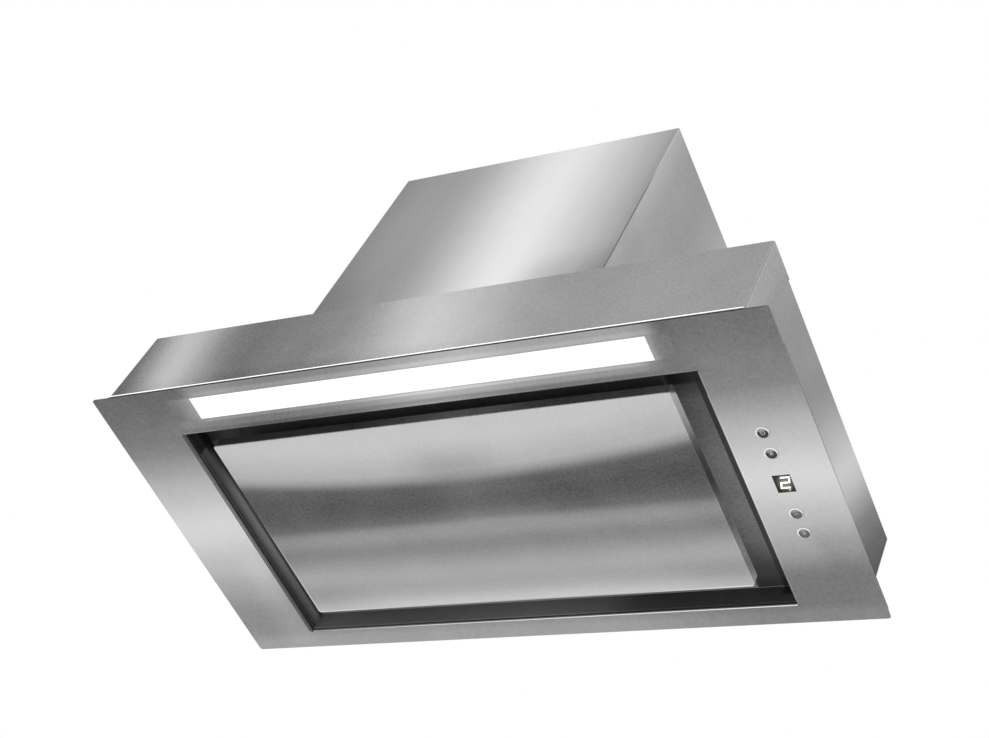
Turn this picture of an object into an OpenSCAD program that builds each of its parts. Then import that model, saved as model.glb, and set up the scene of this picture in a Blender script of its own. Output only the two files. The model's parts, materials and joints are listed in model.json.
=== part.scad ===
// Built-in range hood. A trim plate closes the underside of a wall cabinet, a shallow steel body
// stands on the plate inside the cabinet, and a taller blower box stands on the body.
// Z is up, -Y is the cook's side and X runs from side to side. The origin is under the middle of
// the trim plate, level with the face of the perimeter panel, which is the lowest face of all.

/* [Sheet metal] */
// Thickness of the steel sheets
sheet_t = 1; // [0.8:0.1:1.5]
// Outer radius of a bend in the sheet
bend_r = 2; // [1.6:0.1:3]
// Clearance round pieces that move or drop into place
gap = 0.3; // [0.2:0.05:0.4]
// Clearance of a shaft, a pin or a round piece in its own hole
running_gap = 0.05; // [0.02:0.01:0.08]
// How far a cut runs past the face that it opens
overrun = 1; // [0.5:0.5:2]

/* [Trim plate] */
// Width of the trim plate
plate_w = 600; // [590:1:680]
// Depth of the trim plate
plate_d = 290; // [286:1:330]
// Corner radius of the trim plate
plate_corner_r = 2; // [1:0.5:5]
// Height of the trim plate's underside above the perimeter panel's face
panel_drop = 4.4; // [3:0.1:7]

/* [Suction opening] */
// Border between the opening and each side of the plate
side_border = 69.5; // [65:0.5:75]
// Border between the plate's front edge and the opening
front_border = 45.5; // [42:0.5:50]
// Border between the opening and the plate's rear edge
rear_border = 19.5; // [16:0.5:24]
// Height of the turned-up rim round the opening
rim_h = 8; // [5:0.5:12]
// Height of the recess, from the plate's underside to its ceiling
recess_h = 20; // [19:0.5:28]
// Step from the bend of the rim up to the lip of the suction frame
frame_step = 0.6; // [0.3:0.1:1.5]
// Height of the upright edge round each filter bay
bay_rim_h = 8; // [7:0.5:9]

/* [Perimeter panel] */
// Suction gap at each side of the panel
panel_side_gap = 25; // [20:0.5:34]
// Suction gap in front of the panel
panel_front_gap = 11.5; // [10:0.5:18]
// Suction gap behind the panel
panel_rear_gap = 25.6; // [22:0.2:27]
// Height of the panel's folded edges
panel_fold_h = 9.9; // [8:0.1:11]
// From each side of the panel to the middle of its hinge
hinge_from_side = 55.5; // [36:0.5:100]
// Height of the hinge axis above the top of the panel's folded edges
hinge_rise = 6.5; // [6:0.1:7]
// Radius of the hinge pins
hinge_pin_r = 1.5; // [1:0.1:2]
// Wall of the hinge knuckles round the pins
hinge_wall = 1.45; // [1:0.05:1.6]
// Width of the knuckle on the panel
knuckle_w = 14; // [10:1:20]
// Thickness of the hinge ears, bases and leaves
ear_t = 1.5; // [1.2:0.1:2.5]
// Width of each hinge leaf on the panel
leaf_w = 30; // [24:1:40]
// Length of the hinge base behind the bay, front to back
bracket_d = 14; // [12:0.5:18]

/* [Magnetic catch] */
// From each side of the panel to the middle of its catch
catch_from_side = 55.5; // [36:0.5:100]
// Width of the magnets and their keepers
catch_w = 30; // [20:1:40]
// Depth of the magnets
catch_d = 12; // [10:0.5:13]
// Height of the keepers above the panel's sheet
keeper_h = 11; // [9:0.5:12]
// Thickness of the keepers
keeper_t = 1.5; // [1:0.1:2]

/* [Grease filters] */
// Ledge between the filter bay and each side of the opening
side_ledge = 38.05; // [35:0.05:45]
// Ledge between the front of the opening and the filter bay
front_ledge = 42.5; // [38:0.5:50]
// Height of each filter
filter_h = 10; // [9:0.5:12]
// Ledge between the filter bay and the rear of the opening
rear_ledge = 29.5; // [26:0.5:35]
// How far the filters stand below the ceiling of the recess
filter_proud = 3; // [2:0.5:4]
// Wall of the filter frames
filter_wall = 1.2; // [1:0.1:1.5]
// Width of the lips that hold the filter mesh
filter_lip = 9; // [8:0.5:10]
// Width of the tongue at the back of each filter
tongue_w = 20; // [12:1:30]
// Length of the tongue behind the filter frame
tongue_l = 4; // [3:0.5:5]

/* [Filter latches] */
// Travel of the filter latches
latch_travel = 5; // [4:0.5:5.5]
// Width of the latch bolts
bolt_w = 12; // [10:1:16]
// Thickness of the latch bolts
bolt_t = 1; // [0.8:0.1:1.5]
// How far a bolt reaches past the bay's edge
bolt_reach = 2; // [1:0.5:3]
// Width of the latch handles
handle_w = 26; // [20:1:40]
// Depth of the latch handles
handle_d = 8; // [6:0.5:10]
// Thickness of the latch handles
handle_t = 2; // [1.5:0.1:3]

/* [Lower body] */
// How far the plate stands out past each side of the body
side_overhang = 18; // [16:0.5:22]
// Height of the body's top above the plate's underside
body_h = 81; // [74:1:100]
// Distance from the body's back to the plate's back edge
rear_overhang = 7.5; // [5:0.5:8]
// Length of the front panel's side returns
wrap_l = 33; // [20:1:50]
// Width of the front panel's folds at the plate and under the top
front_fold = 8; // [6:0.5:8.5]

/* [Blower box] */
// Width of the blower box
box_w = 270; // [264:1:300]
// Distance from the body's front face back to the blower box
box_setback = 12; // [8:0.5:14]
// Depth of the blower box
box_d = 258; // [252:1:264]
// Height of the blower box above the body
box_h = 221; // [215:1:240]
// Width of the folds that fasten the blower box to the body
box_fold = 12; // [10:0.5:14]
// Space between those folds and the opening in the body's top
fold_land = 4; // [3:0.5:6]

/* [Light] */
// Length of the light's lens
lens_w = 405; // [380:1:420]
// Depth of the light's lens
lens_d = 18.7; // [16:0.1:19]
// Distance of the lens's centre from the plate's front edge
lens_from_front = 20.95; // [20.5:0.05:21.5]
// Wall of the light's channel
channel_t = 1.2; // [1:0.1:1.5]
// Height of the light's channel
channel_h = 16; // [12:0.5:20]
// Width of the lens's lip inside the channel, on each side
lens_lip = 0.5; // [0.3:0.1:0.6]
// Thickness of the lens's lip
lens_lip_t = 2; // [1.5:0.1:3]
// Thickness of the circuit boards
board_t = 1.6; // [1.2:0.1:2]
// Number of light-emitting chips
chip_n = 18; // [6:1:24]
// Side of each light-emitting chip
chip_w = 3; // [2:0.5:4]
// Height of each light-emitting chip
chip_h = 0.8; // [0.5:0.1:1.2]

/* [Controls] */
// From the plate's right edge to the middle of the controls
control_from_side = 40; // [38:0.5:42]
// Distance of the display's centre behind the plate's centre
control_y = 6.4; // [4:0.2:10]
// Distance from the display to the nearer buttons
display_to_button = 28.7; // [24:0.1:32]
// Distance between the two buttons of a pair
button_pitch = 19; // [15:0.5:22]
// Radius of the button caps
button_r = 4; // [3.7:0.1:4.2]
// Travel of the buttons
button_travel = 1; // [0.6:0.1:1.5]
// How far a cap lies below the rim of its bezel
button_recess = 0.2; // [0.1:0.1:0.5]
// Height of the bezels below the plate
bezel_h = 0.7; // [0.4:0.1:1.2]
// Radius of the bezels' visible rims
bezel_r = 5.2; // [5.1:0.1:5.6]
// Wall of the bezels' sleeves
bezel_wall = 0.3; // [0.3:0.05:0.4]
// Height of the bezels' sleeves above the plate's underside
sleeve_h = 4.6; // [4:0.1:6]
// Radius of the collar that keeps each cap in its bezel
cap_collar_r = 5.6; // [5.1:0.1:7]
// Thickness of that collar
cap_collar_t = 1; // [0.8:0.1:1.5]
// Radius of the buttons' stems
stem_r = 2; // [1.5:0.1:2.5]
// Length of the buttons' stems
stem_l = 3; // [2.5:0.1:4]
// Width of the display window
window_w = 13.8; // [12:0.1:15]
// Depth of the display window
window_d = 16; // [14:0.1:18]
// Height of the lit digit
digit_h = 11; // [9:0.1:12]
// Width of the figure
digit_w = 7.8; // [6:0.1:8]
// Width of the digit's strokes
stroke_w = 1.4; // [1:0.1:1.8]
// Offset of the figure from the middle of the window, to the right
digit_dx = 0.7; // [-1:0.1:1.5]
// Offset of the figure from the middle of the window, towards the back
digit_dy = 0; // [-1.5:0.1:0.6]
// Thickness of the digit's light guides
segment_t = 0.3; // [0.2:0.05:0.5]
// Width of the tact switches
switch_w = 6; // [5:0.5:7]
// Height of the tact switches
switch_h = 3.7; // [3:0.1:4.5]
// Width of the control housing
housing_w = 26; // [24:0.5:27]
// Length of the control housing
housing_l = 126; // [122:1:140]
// Height of the control housing
housing_h = 20; // [18:0.5:24]
// Wall of the plastic housings
housing_t = 1.5; // [1.2:0.1:2]

/* [Blower] */
// From the front of the blower box to the fan's axis
fan_from_front = 103; // [101:0.5:105]
// Height of the impeller's axis above the body
fan_rise = 92; // [90:0.5:96]
// Outer radius of the impeller
fan_r = 74; // [70:1:76]
// Inner radius of the impeller's blades
fan_inner_r = 61; // [58:0.5:63]
// Width of the impeller
fan_w = 116; // [100:1:120]
// Number of blades
blade_n = 30; // [16:2:36]
// Thickness of a blade
blade_t = 1; // [0.8:0.1:1.5]
// How far a blade bends forward, in degrees round the impeller
blade_lean = 14; // [8:1:18]
// Width of the end rings that join the blades
end_ring_w = 3; // [2:0.5:5]
// Depth of the end rings, towards the axis
end_ring_d = 5; // [4:0.5:8]
// Thickness of the impeller's disc
disc_t = 1.5; // [1:0.1:3]
// Radius of the impeller's hub
hub_r = 10; // [8:0.5:12]
// Length of the impeller's hub
hub_l = 14; // [10:0.5:18]
// Smallest radius of the scroll, at its tongue
scroll_r0 = 84; // [82:0.5:86]
// Largest radius of the scroll, where it turns up to the outlet
scroll_r1 = 118; // [114:0.5:120]
// Inner width of the scroll
scroll_w = 130; // [126:1:134]
// Height of the scroll's outlet above the impeller's axis
throat_h = 102.6; // [98:0.2:106]
// Inner radius of the air inlets
inlet_r = 56; // [52:0.5:57]
// Width of the curved part of the inlet rings, out from the inner radius
inlet_curve = 6; // [4:0.5:7]
// Width of the inlet rings' flat flange
inlet_flange = 8; // [5:0.5:9]

/* [Motor] */
// Radius of the motor
motor_r = 40; // [34:0.5:42]
// Distance from the impeller's disc to the motor
motor_gap = 8; // [6:0.5:10]
// Radius of the motor shaft
shaft_r = 4; // [3:0.5:5]
// Outer radius of the motor's bearings
bearing_r = 11; // [9:0.5:12]
// Width of the motor's bearings
bearing_w = 7; // [5:0.5:9]
// Radius of the ring of the motor bracket
bracket_ring_r = 44; // [42:0.5:48]
// Width of the motor bracket's arms
arm_w = 14; // [10:0.5:18]
// Thickness of the motor bracket
arm_t = 2; // [1.5:0.1:3]
// Radius at which the bracket is screwed to the scroll
arm_screw_r = 75; // [74:0.5:78]
// Radius of the capacitor
capacitor_r = 15; // [12:0.5:18]
// Length of the capacitor
capacitor_l = 60; // [50:1:80]
// Distance of the capacitor behind the plate's centre
capacitor_y = 60; // [40:1:80]
// Height of the capacitor's foot above the body
capacitor_rise = 90; // [60:1:120]
// Thickness of the capacitor's clip
clip_t = 1; // [0.8:0.1:1.5]
// Height of the capacitor's clip
clip_h = 14; // [10:1:20]

/* [Air outlet] */
// Outer radius of the duct collar, for a 150 mm duct
collar_r = 74.5; // [74:0.1:75]
// Height of the duct collar
collar_h = 45; // [42:1:70]
// Width of the collar's flange
collar_flange = 11.5; // [10:0.5:14]
// Height of the flap axle above the box's top
axle_rise = 14; // [12:0.5:18]
// Radius of the flap axle
axle_r = 2; // [1.5:0.1:2.5]
// Thickness of the flaps
flap_t = 1; // [0.8:0.1:1.5]
// Wall of the flaps' knuckles
knuckle_wall = 1.4; // [1:0.1:1.8]
// Length of each flap knuckle
flap_knuckle_l = 14; // [10:1:20]
// Width of the ring that stops the flaps
stop_w = 2.5; // [2:0.1:4]
// Height of the ring that stops the flaps
stop_h = 2; // [1.5:0.1:3]
// Distance from the collar's wall to the edge of a closed flap
flap_clear = 0.7; // [0.5:0.1:1]

/* [Wiring and supply] */
// From each side of the body to the middle of the supply box and of the light's driver
supply_from_side = 99; // [92:1:102]
// Width of the supply box
supply_w = 70; // [60:1:76]
// Length of the supply box
supply_l = 110; // [90:1:130]
// Height of the supply box
supply_h = 32; // [28:1:36]
// Width of the light driver
driver_w = 40; // [30:1:50]
// Length of the light driver
driver_l = 120; // [90:1:140]
// Height of the light driver
driver_h = 22; // [18:1:26]
// Radius of the mains cable that the gland takes
cable_r = 3.9; // [3.5:0.1:4.5]
// Radius of the gland's thread
gland_r = 8; // [7:0.5:9]
// Radius of the gland's nut and cap
gland_nut_r = 11; // [10:0.5:13]
// From the side of the blower box to the middle of the cable gland
gland_from_box = 48; // [30:1:60]
// From the back of the body to the middle of the cable gland
gland_from_back = 37.5; // [27.5:1:47.5]
// Height of the gland above the body
gland_h = 20; // [16:1:28]

/* [Fastenings] */
// Radius of the holes for the cabinet screws
cabinet_hole_r = 2.75; // [2:0.05:3.5]
// From each side of the body to the holes for the cabinet screws
cabinet_from_side = 42; // [22:1:52]
// From the front of the body to the front holes for the cabinet screws
cabinet_from_front = 45; // [35:1:55]
// From the back of the body to the rear holes for the cabinet screws
cabinet_from_back = 37.5; // [27.5:1:47.5]
// Radius of the sheet-metal screws
screw_r = 1.9; // [1.5:0.1:2.2]
// Radius of the screw heads
screw_head_r = 3.6; // [3:0.1:4]
// Height of the screw heads
screw_head_h = 2; // [1.5:0.1:2.5]
// Length of the screws under the head
screw_l = 6; // [5:0.5:8]

/* [Hidden] */

// Curves: fine on what is seen or fits, coarser inside
fine_fn = 96;
small_fn = 48;

// Levels and faces of the trim plate
plate_z0 = panel_drop;
plate_z1 = plate_z0 + sheet_t;
front_y = -plate_d / 2;
rear_y = plate_d / 2;
open_x = plate_w / 2 - side_border;
open_y0 = front_y + front_border;
open_y1 = rear_y - rear_border;
opening_w = 2 * open_x;
opening_d = open_y1 - open_y0;
opening_y = (open_y0 + open_y1) / 2;

// Levels and faces of the lower body
body_x = plate_w / 2 - side_overhang;
body_y0 = front_y;
body_y1 = rear_y - rear_overhang;
body_z1 = plate_z0 + body_h;
lid_z0 = body_z1 - sheet_t;
seat_z = plate_z1 + sheet_t;

// Faces of the blower box
box_x = box_w / 2;
box_y0 = body_y0 + box_setback;
box_y1 = box_y0 + box_d;
box_z1 = body_z1 + box_h;
fold_mid = sheet_t + box_fold / 2;
well_x = box_x - sheet_t - box_fold - fold_land;
well_y0 = box_y0 + sheet_t + box_fold + fold_land;
well_y1 = box_y1 - sheet_t - box_fold - fold_land;

// The recess, its ceiling and the filter bay
ceiling_z0 = plate_z0 + recess_h;
ceiling_z1 = ceiling_z0 + sheet_t;
bay_x = open_x - side_ledge;
bay_y0 = open_y0 + front_ledge;
bay_y1 = open_y1 - rear_ledge;
filter_w = bay_x - 1.5 * gap;
filter_d = bay_y1 - bay_y0 - 2 * gap;
filter_y = (bay_y0 + bay_y1) / 2;
filter_z0 = ceiling_z0 - filter_proud;
filter_cx = (filter_w + gap) / 2;
bolt_height_share = 0.65;
bolt_z = filter_z0 + filter_h * bolt_height_share;

// The perimeter panel, its hinge axis and its catch
panel_x = open_x - panel_side_gap;
panel_y0 = open_y0 + panel_front_gap;
panel_y1 = open_y1 - panel_rear_gap;
panel_w = 2 * panel_x;
panel_d = panel_y1 - panel_y0;
panel_y = (panel_y0 + panel_y1) / 2;
hinge_x = panel_x - hinge_from_side;
catch_x = panel_x - catch_from_side;
hinge_z = panel_fold_h + hinge_rise;
hinge_knuckle_r = hinge_pin_r + running_gap + hinge_wall;
hinge_y = panel_y1 - sheet_t - ear_t + hinge_knuckle_r;
catch_y1 = bay_y0 - sheet_t - 2 * gap;
catch_y0 = catch_y1 - catch_d;
keeper_z1 = sheet_t + keeper_h;

// The light
lens_y = front_y + lens_from_front;
lens_x = lens_w / 2;
lens_half_d = lens_d / 2;
channel_half_d = lens_half_d + lens_lip + channel_t + gap;
channel_x = lens_x + lens_lip + channel_t + gap;
channel_z1 = plate_z1 + channel_h;
light_board_z0 = channel_z1 - channel_t - board_t;

// The controls, from the plate's underside upwards
control_x = plate_w / 2 - control_from_side;
button_ys = [control_y - display_to_button - button_pitch, control_y - display_to_button,
    control_y + display_to_button, control_y + display_to_button + button_pitch];
sleeve_z1 = plate_z0 + sleeve_h;
sleeve_r = button_r + gap;
bezel_sleeve_r = sleeve_r + bezel_wall;
cap_z0 = plate_z0 - bezel_h + button_recess;
collar_z0 = sleeve_z1 + gap;
stem_z0 = collar_z0 + cap_collar_t;
stem_z1 = stem_z0 + stem_l;
switch_z0 = stem_z1 + button_travel + gap;
control_board_z0 = switch_z0 + switch_h;
housing_z1 = plate_z1 + housing_h;
window_t = sheet_t;
digit_z0 = plate_z0 + window_t;
module_z0 = digit_z0 + segment_t;
digit_slant_share = 0.27;

// The blower
fan_y = box_y0 + fan_from_front;
fan_z = body_z1 + fan_rise;
tongue_angle = 85;
scroll_steps = 44;
throat_z = fan_z + throat_h;
scroll_half_w = scroll_w / 2;
scroll_side_x = scroll_half_w + sheet_t;
throat_y0 = fan_y + scroll_r0 * cos(tongue_angle);
throat_y1 = fan_y + scroll_r1;
collar_y = (throat_y0 + throat_y1) / 2;
inlet_x0 = scroll_side_x - inlet_curve;
bracket_x0 = scroll_side_x + sheet_t;
motor_x0 = motor_gap + disc_t / 2;

// The air outlet
collar_inner_r = collar_r - sheet_t;
tube_z0 = box_z1 + 2 * sheet_t;
collar_z1 = box_z1 + collar_h;
collar_flange_r = collar_r + collar_flange;
axle_z = box_z1 + axle_rise;
flap_r = collar_inner_r - flap_clear;
flap_knuckle_r = axle_r + running_gap + knuckle_wall;
flap_edge = flap_knuckle_r + 2 * gap;
stop_z1 = axle_z - flap_t / 2 - gap;

// Supply pieces under the body's top
supply_x = body_x - supply_from_side;
gland_x = box_x + gland_from_box;
gland_y = body_y1 - gland_from_back;
supply_z0 = lid_z0 - supply_h;
driver_z0 = lid_z0 - driver_h;

// A block between two corners
module block(x0, x1, y0, y1, z0, z1) {
    translate([x0, y0, z0]) cube([x1 - x0, y1 - y0, z1 - z0]);
}

// A block and its mirror image across the middle
module block_pair(x0, x1, y0, y1, z0, z1) {
    block(x0, x1, y0, y1, z0, z1);
    block(-x1, -x0, y0, y1, z0, z1);
}

// A rectangle with rounded corners
module round_rect(w, d, r) {
    square([w - 2 * r, d], center = true);
    square([w, d - 2 * r], center = true);
    for (sx = [-1, 1], sy = [-1, 1])
        translate([sx * (w / 2 - r), sy * (d / 2 - r)]) circle(r, $fn = small_fn);
}

// A round bar that runs along X, from x0 to x1
module bar_x(x0, x1, r, fn = small_fn) {
    translate([x0, 0, 0]) rotate([0, 90, 0]) cylinder(r = r, h = x1 - x0, $fn = fn);
}

// A round bar that runs along Y, from y0 to y1
module bar_y(y0, y1, r, fn = small_fn) {
    translate([0, y0, 0]) rotate([-90, 0, 0]) cylinder(r = r, h = y1 - y0, $fn = fn);
}

// Where the folds of the box's sides are screwed to the body
module side_fold_spots() {
    for (sx = [-1, 1], sy = [-1, 1])
        translate([sx * (box_x - fold_mid), (box_y0 + box_y1) / 2 + sy * box_d / 3, 0]) children();
}

// Where the folds of the box's front and back are screwed to the body
module end_fold_spots() {
    for (x = [-box_w / 4, box_w / 4], y = [box_y0 + fold_mid, box_y1 - fold_mid])
        translate([x, y, 0]) children();
}

// Where the collar is screwed to the box's top
module collar_spots() {
    for (turn = [45 : 90 : 315]) translate([0, collar_y, 0]) rotate(turn)
        translate([collar_r + collar_flange / 2, 0, 0]) children();
}

// Where the arms of the motor bracket are screwed to the scroll, in the fan's plane
module arm_spots() {
    for (turn = [90, 210, 330]) rotate(turn) translate([arm_screw_r, 0, 0]) children();
}

// The hole of a sheet-metal screw, from z0 to z1
module screw_hole(z0, z1) {
    translate([0, 0, z0 - overrun])
        cylinder(r = screw_r + running_gap, h = z1 - z0 + 2 * overrun, $fn = small_fn);
}

// Section of the turned-up rim: u runs away from the opening, v runs up
module rim_section() {
    translate([0, bend_r]) square([sheet_t, rim_h - bend_r]);
    intersection() {
        difference() {
            translate([bend_r, bend_r]) circle(bend_r, $fn = small_fn);
            translate([bend_r, bend_r]) circle(bend_r - sheet_t, $fn = small_fn);
        }
        square([bend_r, bend_r]);
    }
}

// One side of the rim, of the given length at the opening, with mitred ends
module rim_side(length) {
    intersection() {
        rotate([90, 0, 90]) translate([0, 0, -length / 2 - bend_r])
            linear_extrude(height = length + 2 * bend_r) rim_section();
        translate([0, 0, -overrun]) linear_extrude(height = rim_h + 2 * overrun)
            polygon([[-length / 2, 0], [length / 2, 0], [length / 2 + bend_r, bend_r],
                [-length / 2 - bend_r, bend_r]]);
    }
}

// The visible stainless plate with its openings
module trim_plate() {
    color("silver") {
        translate([0, 0, plate_z0]) linear_extrude(height = sheet_t) difference() {
            round_rect(plate_w, plate_d, plate_corner_r);
            translate([0, opening_y]) square([opening_w + 2 * bend_r, opening_d + 2 * bend_r], center = true);
            translate([0, lens_y]) square([lens_w + gap, lens_d + gap], center = true);
            translate([control_x, control_y]) square([window_w + gap, window_d + gap], center = true);
            for (y = button_ys)
                translate([control_x, y]) circle(bezel_sleeve_r + running_gap, $fn = small_fn);
        }
        for (turn = [0, 180]) translate([0, opening_y, plate_z0]) rotate(turn)
            translate([0, opening_d / 2, 0]) rim_side(opening_w);
        for (turn = [90, 270]) translate([0, opening_y, plate_z0]) rotate(turn)
            translate([0, opening_w / 2, 0]) rim_side(opening_d);
    }
}

// The dark tray that lines the recess and carries the filters, the hinges and the magnets
module suction_frame() {
    slot_z0 = bolt_z - bolt_t / 2 - gap;
    slot_z1 = bolt_z + bolt_t / 2 + gap;
    lip_z = plate_z0 + bend_r + frame_step;
    color("dimgray") difference() {
        union() {
            difference() {
                block(-open_x, open_x, open_y0, open_y1, lip_z, ceiling_z1);
                block(-open_x + sheet_t, open_x - sheet_t, open_y0 + sheet_t, open_y1 - sheet_t,
                    lip_z - overrun, ceiling_z0);
            }
            block(-bay_x - sheet_t, bay_x + sheet_t, bay_y0 - sheet_t, bay_y1 + sheet_t,
                ceiling_z0, ceiling_z1 + bay_rim_h);
        }
        block(-bay_x, bay_x, bay_y0, bay_y1, ceiling_z0 - overrun, ceiling_z1 + bay_rim_h + overrun);
        for (side = [-1, 1]) {
            block(side * filter_cx - bolt_w / 2 - gap, side * filter_cx + bolt_w / 2 + gap,
                bay_y0 - sheet_t - overrun, bay_y0 + overrun, slot_z0, slot_z1);
            block(side * filter_cx - tongue_w / 2 - gap, side * filter_cx + tongue_w / 2 + gap,
                bay_y1 - overrun, bay_y1 + sheet_t + overrun, slot_z0, slot_z1);
        }
    }
}

// The folded front of the body, with returns that lap over both side panels
module body_front() {
    outer_w = 2 * (body_x + sheet_t);
    run = 2 * wrap_l;
    color("silver") {
        translate([0, 0, plate_z1]) linear_extrude(height = body_z1 - plate_z1) intersection() {
            translate([0, body_y0 + run / 2]) difference() {
                round_rect(outer_w, run, bend_r);
                round_rect(outer_w - 2 * sheet_t, run - 2 * sheet_t, bend_r - sheet_t);
            }
            translate([-outer_w / 2, body_y0]) square([outer_w, wrap_l]);
        }
        for (z = [plate_z1, lid_z0 - sheet_t])
            block(-body_x + 2 * bend_r, body_x - 2 * bend_r, body_y0 + sheet_t / 2,
                body_y0 + sheet_t + front_fold, z, z + sheet_t);
    }
}

// A side panel with the flange that seats under the cabinet
module body_side(side) {
    y0 = body_y0 + bend_r;
    y1 = body_y1 - sheet_t;
    flange_y0 = body_y0 + wrap_l + gap;
    color("silver") mirror([side < 0 ? 1 : 0, 0, 0]) {
        block(body_x - sheet_t, body_x, y0, y1, plate_z1, body_z1);
        block(body_x, plate_w / 2, flange_y0, y1, plate_z1, seat_z);
        block(body_x - sheet_t - front_fold, body_x - sheet_t, y0 + 2 * front_fold, y1,
            lid_z0 - sheet_t, lid_z0);
    }
}

module body_left_side() { body_side(-1); }

module body_right_side() { body_side(1); }

// The back of the body, with its flange on the plate
module body_back() {
    color("silver") {
        block(-body_x, body_x, body_y1 - sheet_t, body_y1, plate_z1, body_z1);
        block(-body_x, body_x, body_y1, rear_y, plate_z1, seat_z);
    }
}

// The top of the body, with the well under the blower box and the cabinet screw holes
module body_top() {
    color("silver") difference() {
        block(-body_x + sheet_t, body_x - sheet_t, body_y0 + sheet_t, body_y1 - sheet_t, lid_z0, body_z1);
        for (side = [-1, 1]) translate([side * (body_x - sheet_t), body_y0 + sheet_t, lid_z0 - overrun])
            linear_extrude(height = sheet_t + 2 * overrun)
                square([2 * bend_r, 2 * bend_r], center = true);
        block(-well_x, well_x, well_y0, well_y1, lid_z0 - overrun, body_z1 + overrun);
        for (side = [-1, 1], y = [body_y0 + cabinet_from_front, body_y1 - cabinet_from_back])
            translate([side * (body_x - cabinet_from_side), y, lid_z0 - overrun])
                cylinder(r = cabinet_hole_r, h = sheet_t + 2 * overrun, $fn = small_fn);
        translate([gland_x, gland_y, lid_z0 - overrun])
            cylinder(r = gland_r + running_gap, h = sheet_t + 2 * overrun, $fn = small_fn);
        side_fold_spots() screw_hole(lid_z0, body_z1);
        end_fold_spots() screw_hole(lid_z0, body_z1);
    }
}

// The front sheet of the blower box, which laps the edges of its sides
module box_front() {
    fold_x = box_x - sheet_t - box_fold - gap;
    color("silver") difference() {
        union() {
            block(-box_x, box_x, box_y0, box_y0 + sheet_t, body_z1, box_z1);
            block(-fold_x, fold_x, box_y0 + sheet_t, box_y0 + sheet_t + box_fold,
                body_z1, body_z1 + sheet_t);
        }
        end_fold_spots() screw_hole(body_z1, body_z1 + sheet_t);
    }
}

// A side sheet of the blower box, with its inward fold on the body's top
module box_side(side) {
    y0 = box_y0 + sheet_t;
    y1 = box_y1 - sheet_t;
    color("silver") difference() {
        mirror([side < 0 ? 1 : 0, 0, 0]) {
            block(box_x - sheet_t, box_x, y0, y1, body_z1, box_z1);
            block(box_x - sheet_t - box_fold, box_x - sheet_t, y0, y1, body_z1, body_z1 + sheet_t);
        }
        side_fold_spots() screw_hole(body_z1, body_z1 + sheet_t);
    }
}

module box_left_side() { box_side(-1); }

module box_right_side() { box_side(1); }

// The back sheet of the blower box
module box_back() {
    fold_x = box_x - sheet_t - box_fold - gap;
    color("silver") difference() {
        union() {
            block(-box_x, box_x, box_y1 - sheet_t, box_y1, body_z1, box_z1);
            block(-fold_x, fold_x, box_y1 - sheet_t - box_fold, box_y1 - sheet_t,
                body_z1, body_z1 + sheet_t);
        }
        end_fold_spots() screw_hole(body_z1, body_z1 + sheet_t);
    }
}

// The top sheet of the blower box, with the hole under the duct collar
module box_top() {
    color("silver") difference() {
        block(-box_x + sheet_t, box_x - sheet_t, box_y0 + sheet_t, box_y1 - sheet_t,
            box_z1 - sheet_t, box_z1);
        translate([0, collar_y, box_z1 - sheet_t - overrun])
            cylinder(r = collar_inner_r, h = sheet_t + 2 * overrun, $fn = fine_fn);
        collar_spots() screw_hole(box_z1 - sheet_t, box_z1);
    }
}

// The stainless tray that hangs under the filters, with the suction gap all round it
module perimeter_panel() {
    color("gainsboro") difference() {
        union() {
            translate([0, panel_y, sheet_t]) linear_extrude(height = panel_fold_h - sheet_t)
                round_rect(panel_w, panel_d, bend_r);
            translate([0, panel_y, 0]) linear_extrude(height = sheet_t)
                round_rect(panel_w, panel_d, bend_r);
        }
        translate([0, panel_y, sheet_t]) linear_extrude(height = panel_fold_h)
            round_rect(panel_w - 2 * sheet_t, panel_d - 2 * sheet_t, bend_r - sheet_t);
    }
}

// The hinge leaves on the panel: an upright plate with a knuckle on top
module panel_hinge_leaves() {
    leaf_y0 = panel_y1 - sheet_t - ear_t;
    color("lightgray") for (side = [-1, 1]) translate([side * hinge_x, 0, 0]) difference() {
        union() {
            block(-leaf_w / 2, leaf_w / 2, leaf_y0, leaf_y0 + ear_t, sheet_t, panel_fold_h);
            block(-knuckle_w / 2, knuckle_w / 2, leaf_y0, leaf_y0 + ear_t, sheet_t, hinge_z);
            translate([0, hinge_y, hinge_z]) bar_x(-knuckle_w / 2, knuckle_w / 2, hinge_knuckle_r);
        }
        translate([0, hinge_y, hinge_z])
            bar_x(-knuckle_w / 2 - overrun, knuckle_w / 2 + overrun, hinge_pin_r + running_gap);
    }
}

// The hinge brackets under the ceiling: a base and two ears that hold the pin
module panel_hinge_brackets() {
    ear_x0 = knuckle_w / 2 + gap;
    ear_x1 = ear_x0 + ear_t;
    base_y0 = bay_y1 + 2 * gap;
    color("lightgray") for (side = [-1, 1]) translate([side * hinge_x, 0, 0]) difference() {
        union() {
            block(-ear_x1, ear_x1, base_y0, base_y0 + bracket_d, ceiling_z0 - ear_t, ceiling_z0);
            for (x0 = [-ear_x1, ear_x0]) {
                block(x0, x0 + ear_t, hinge_y, hinge_y + hinge_knuckle_r, hinge_z, ceiling_z0 - ear_t);
                translate([0, hinge_y, hinge_z]) bar_x(x0, x0 + ear_t, hinge_knuckle_r);
            }
        }
        translate([0, hinge_y, hinge_z])
            bar_x(-ear_x1 - overrun, ear_x1 + overrun, hinge_pin_r + running_gap);
    }
}

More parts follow.
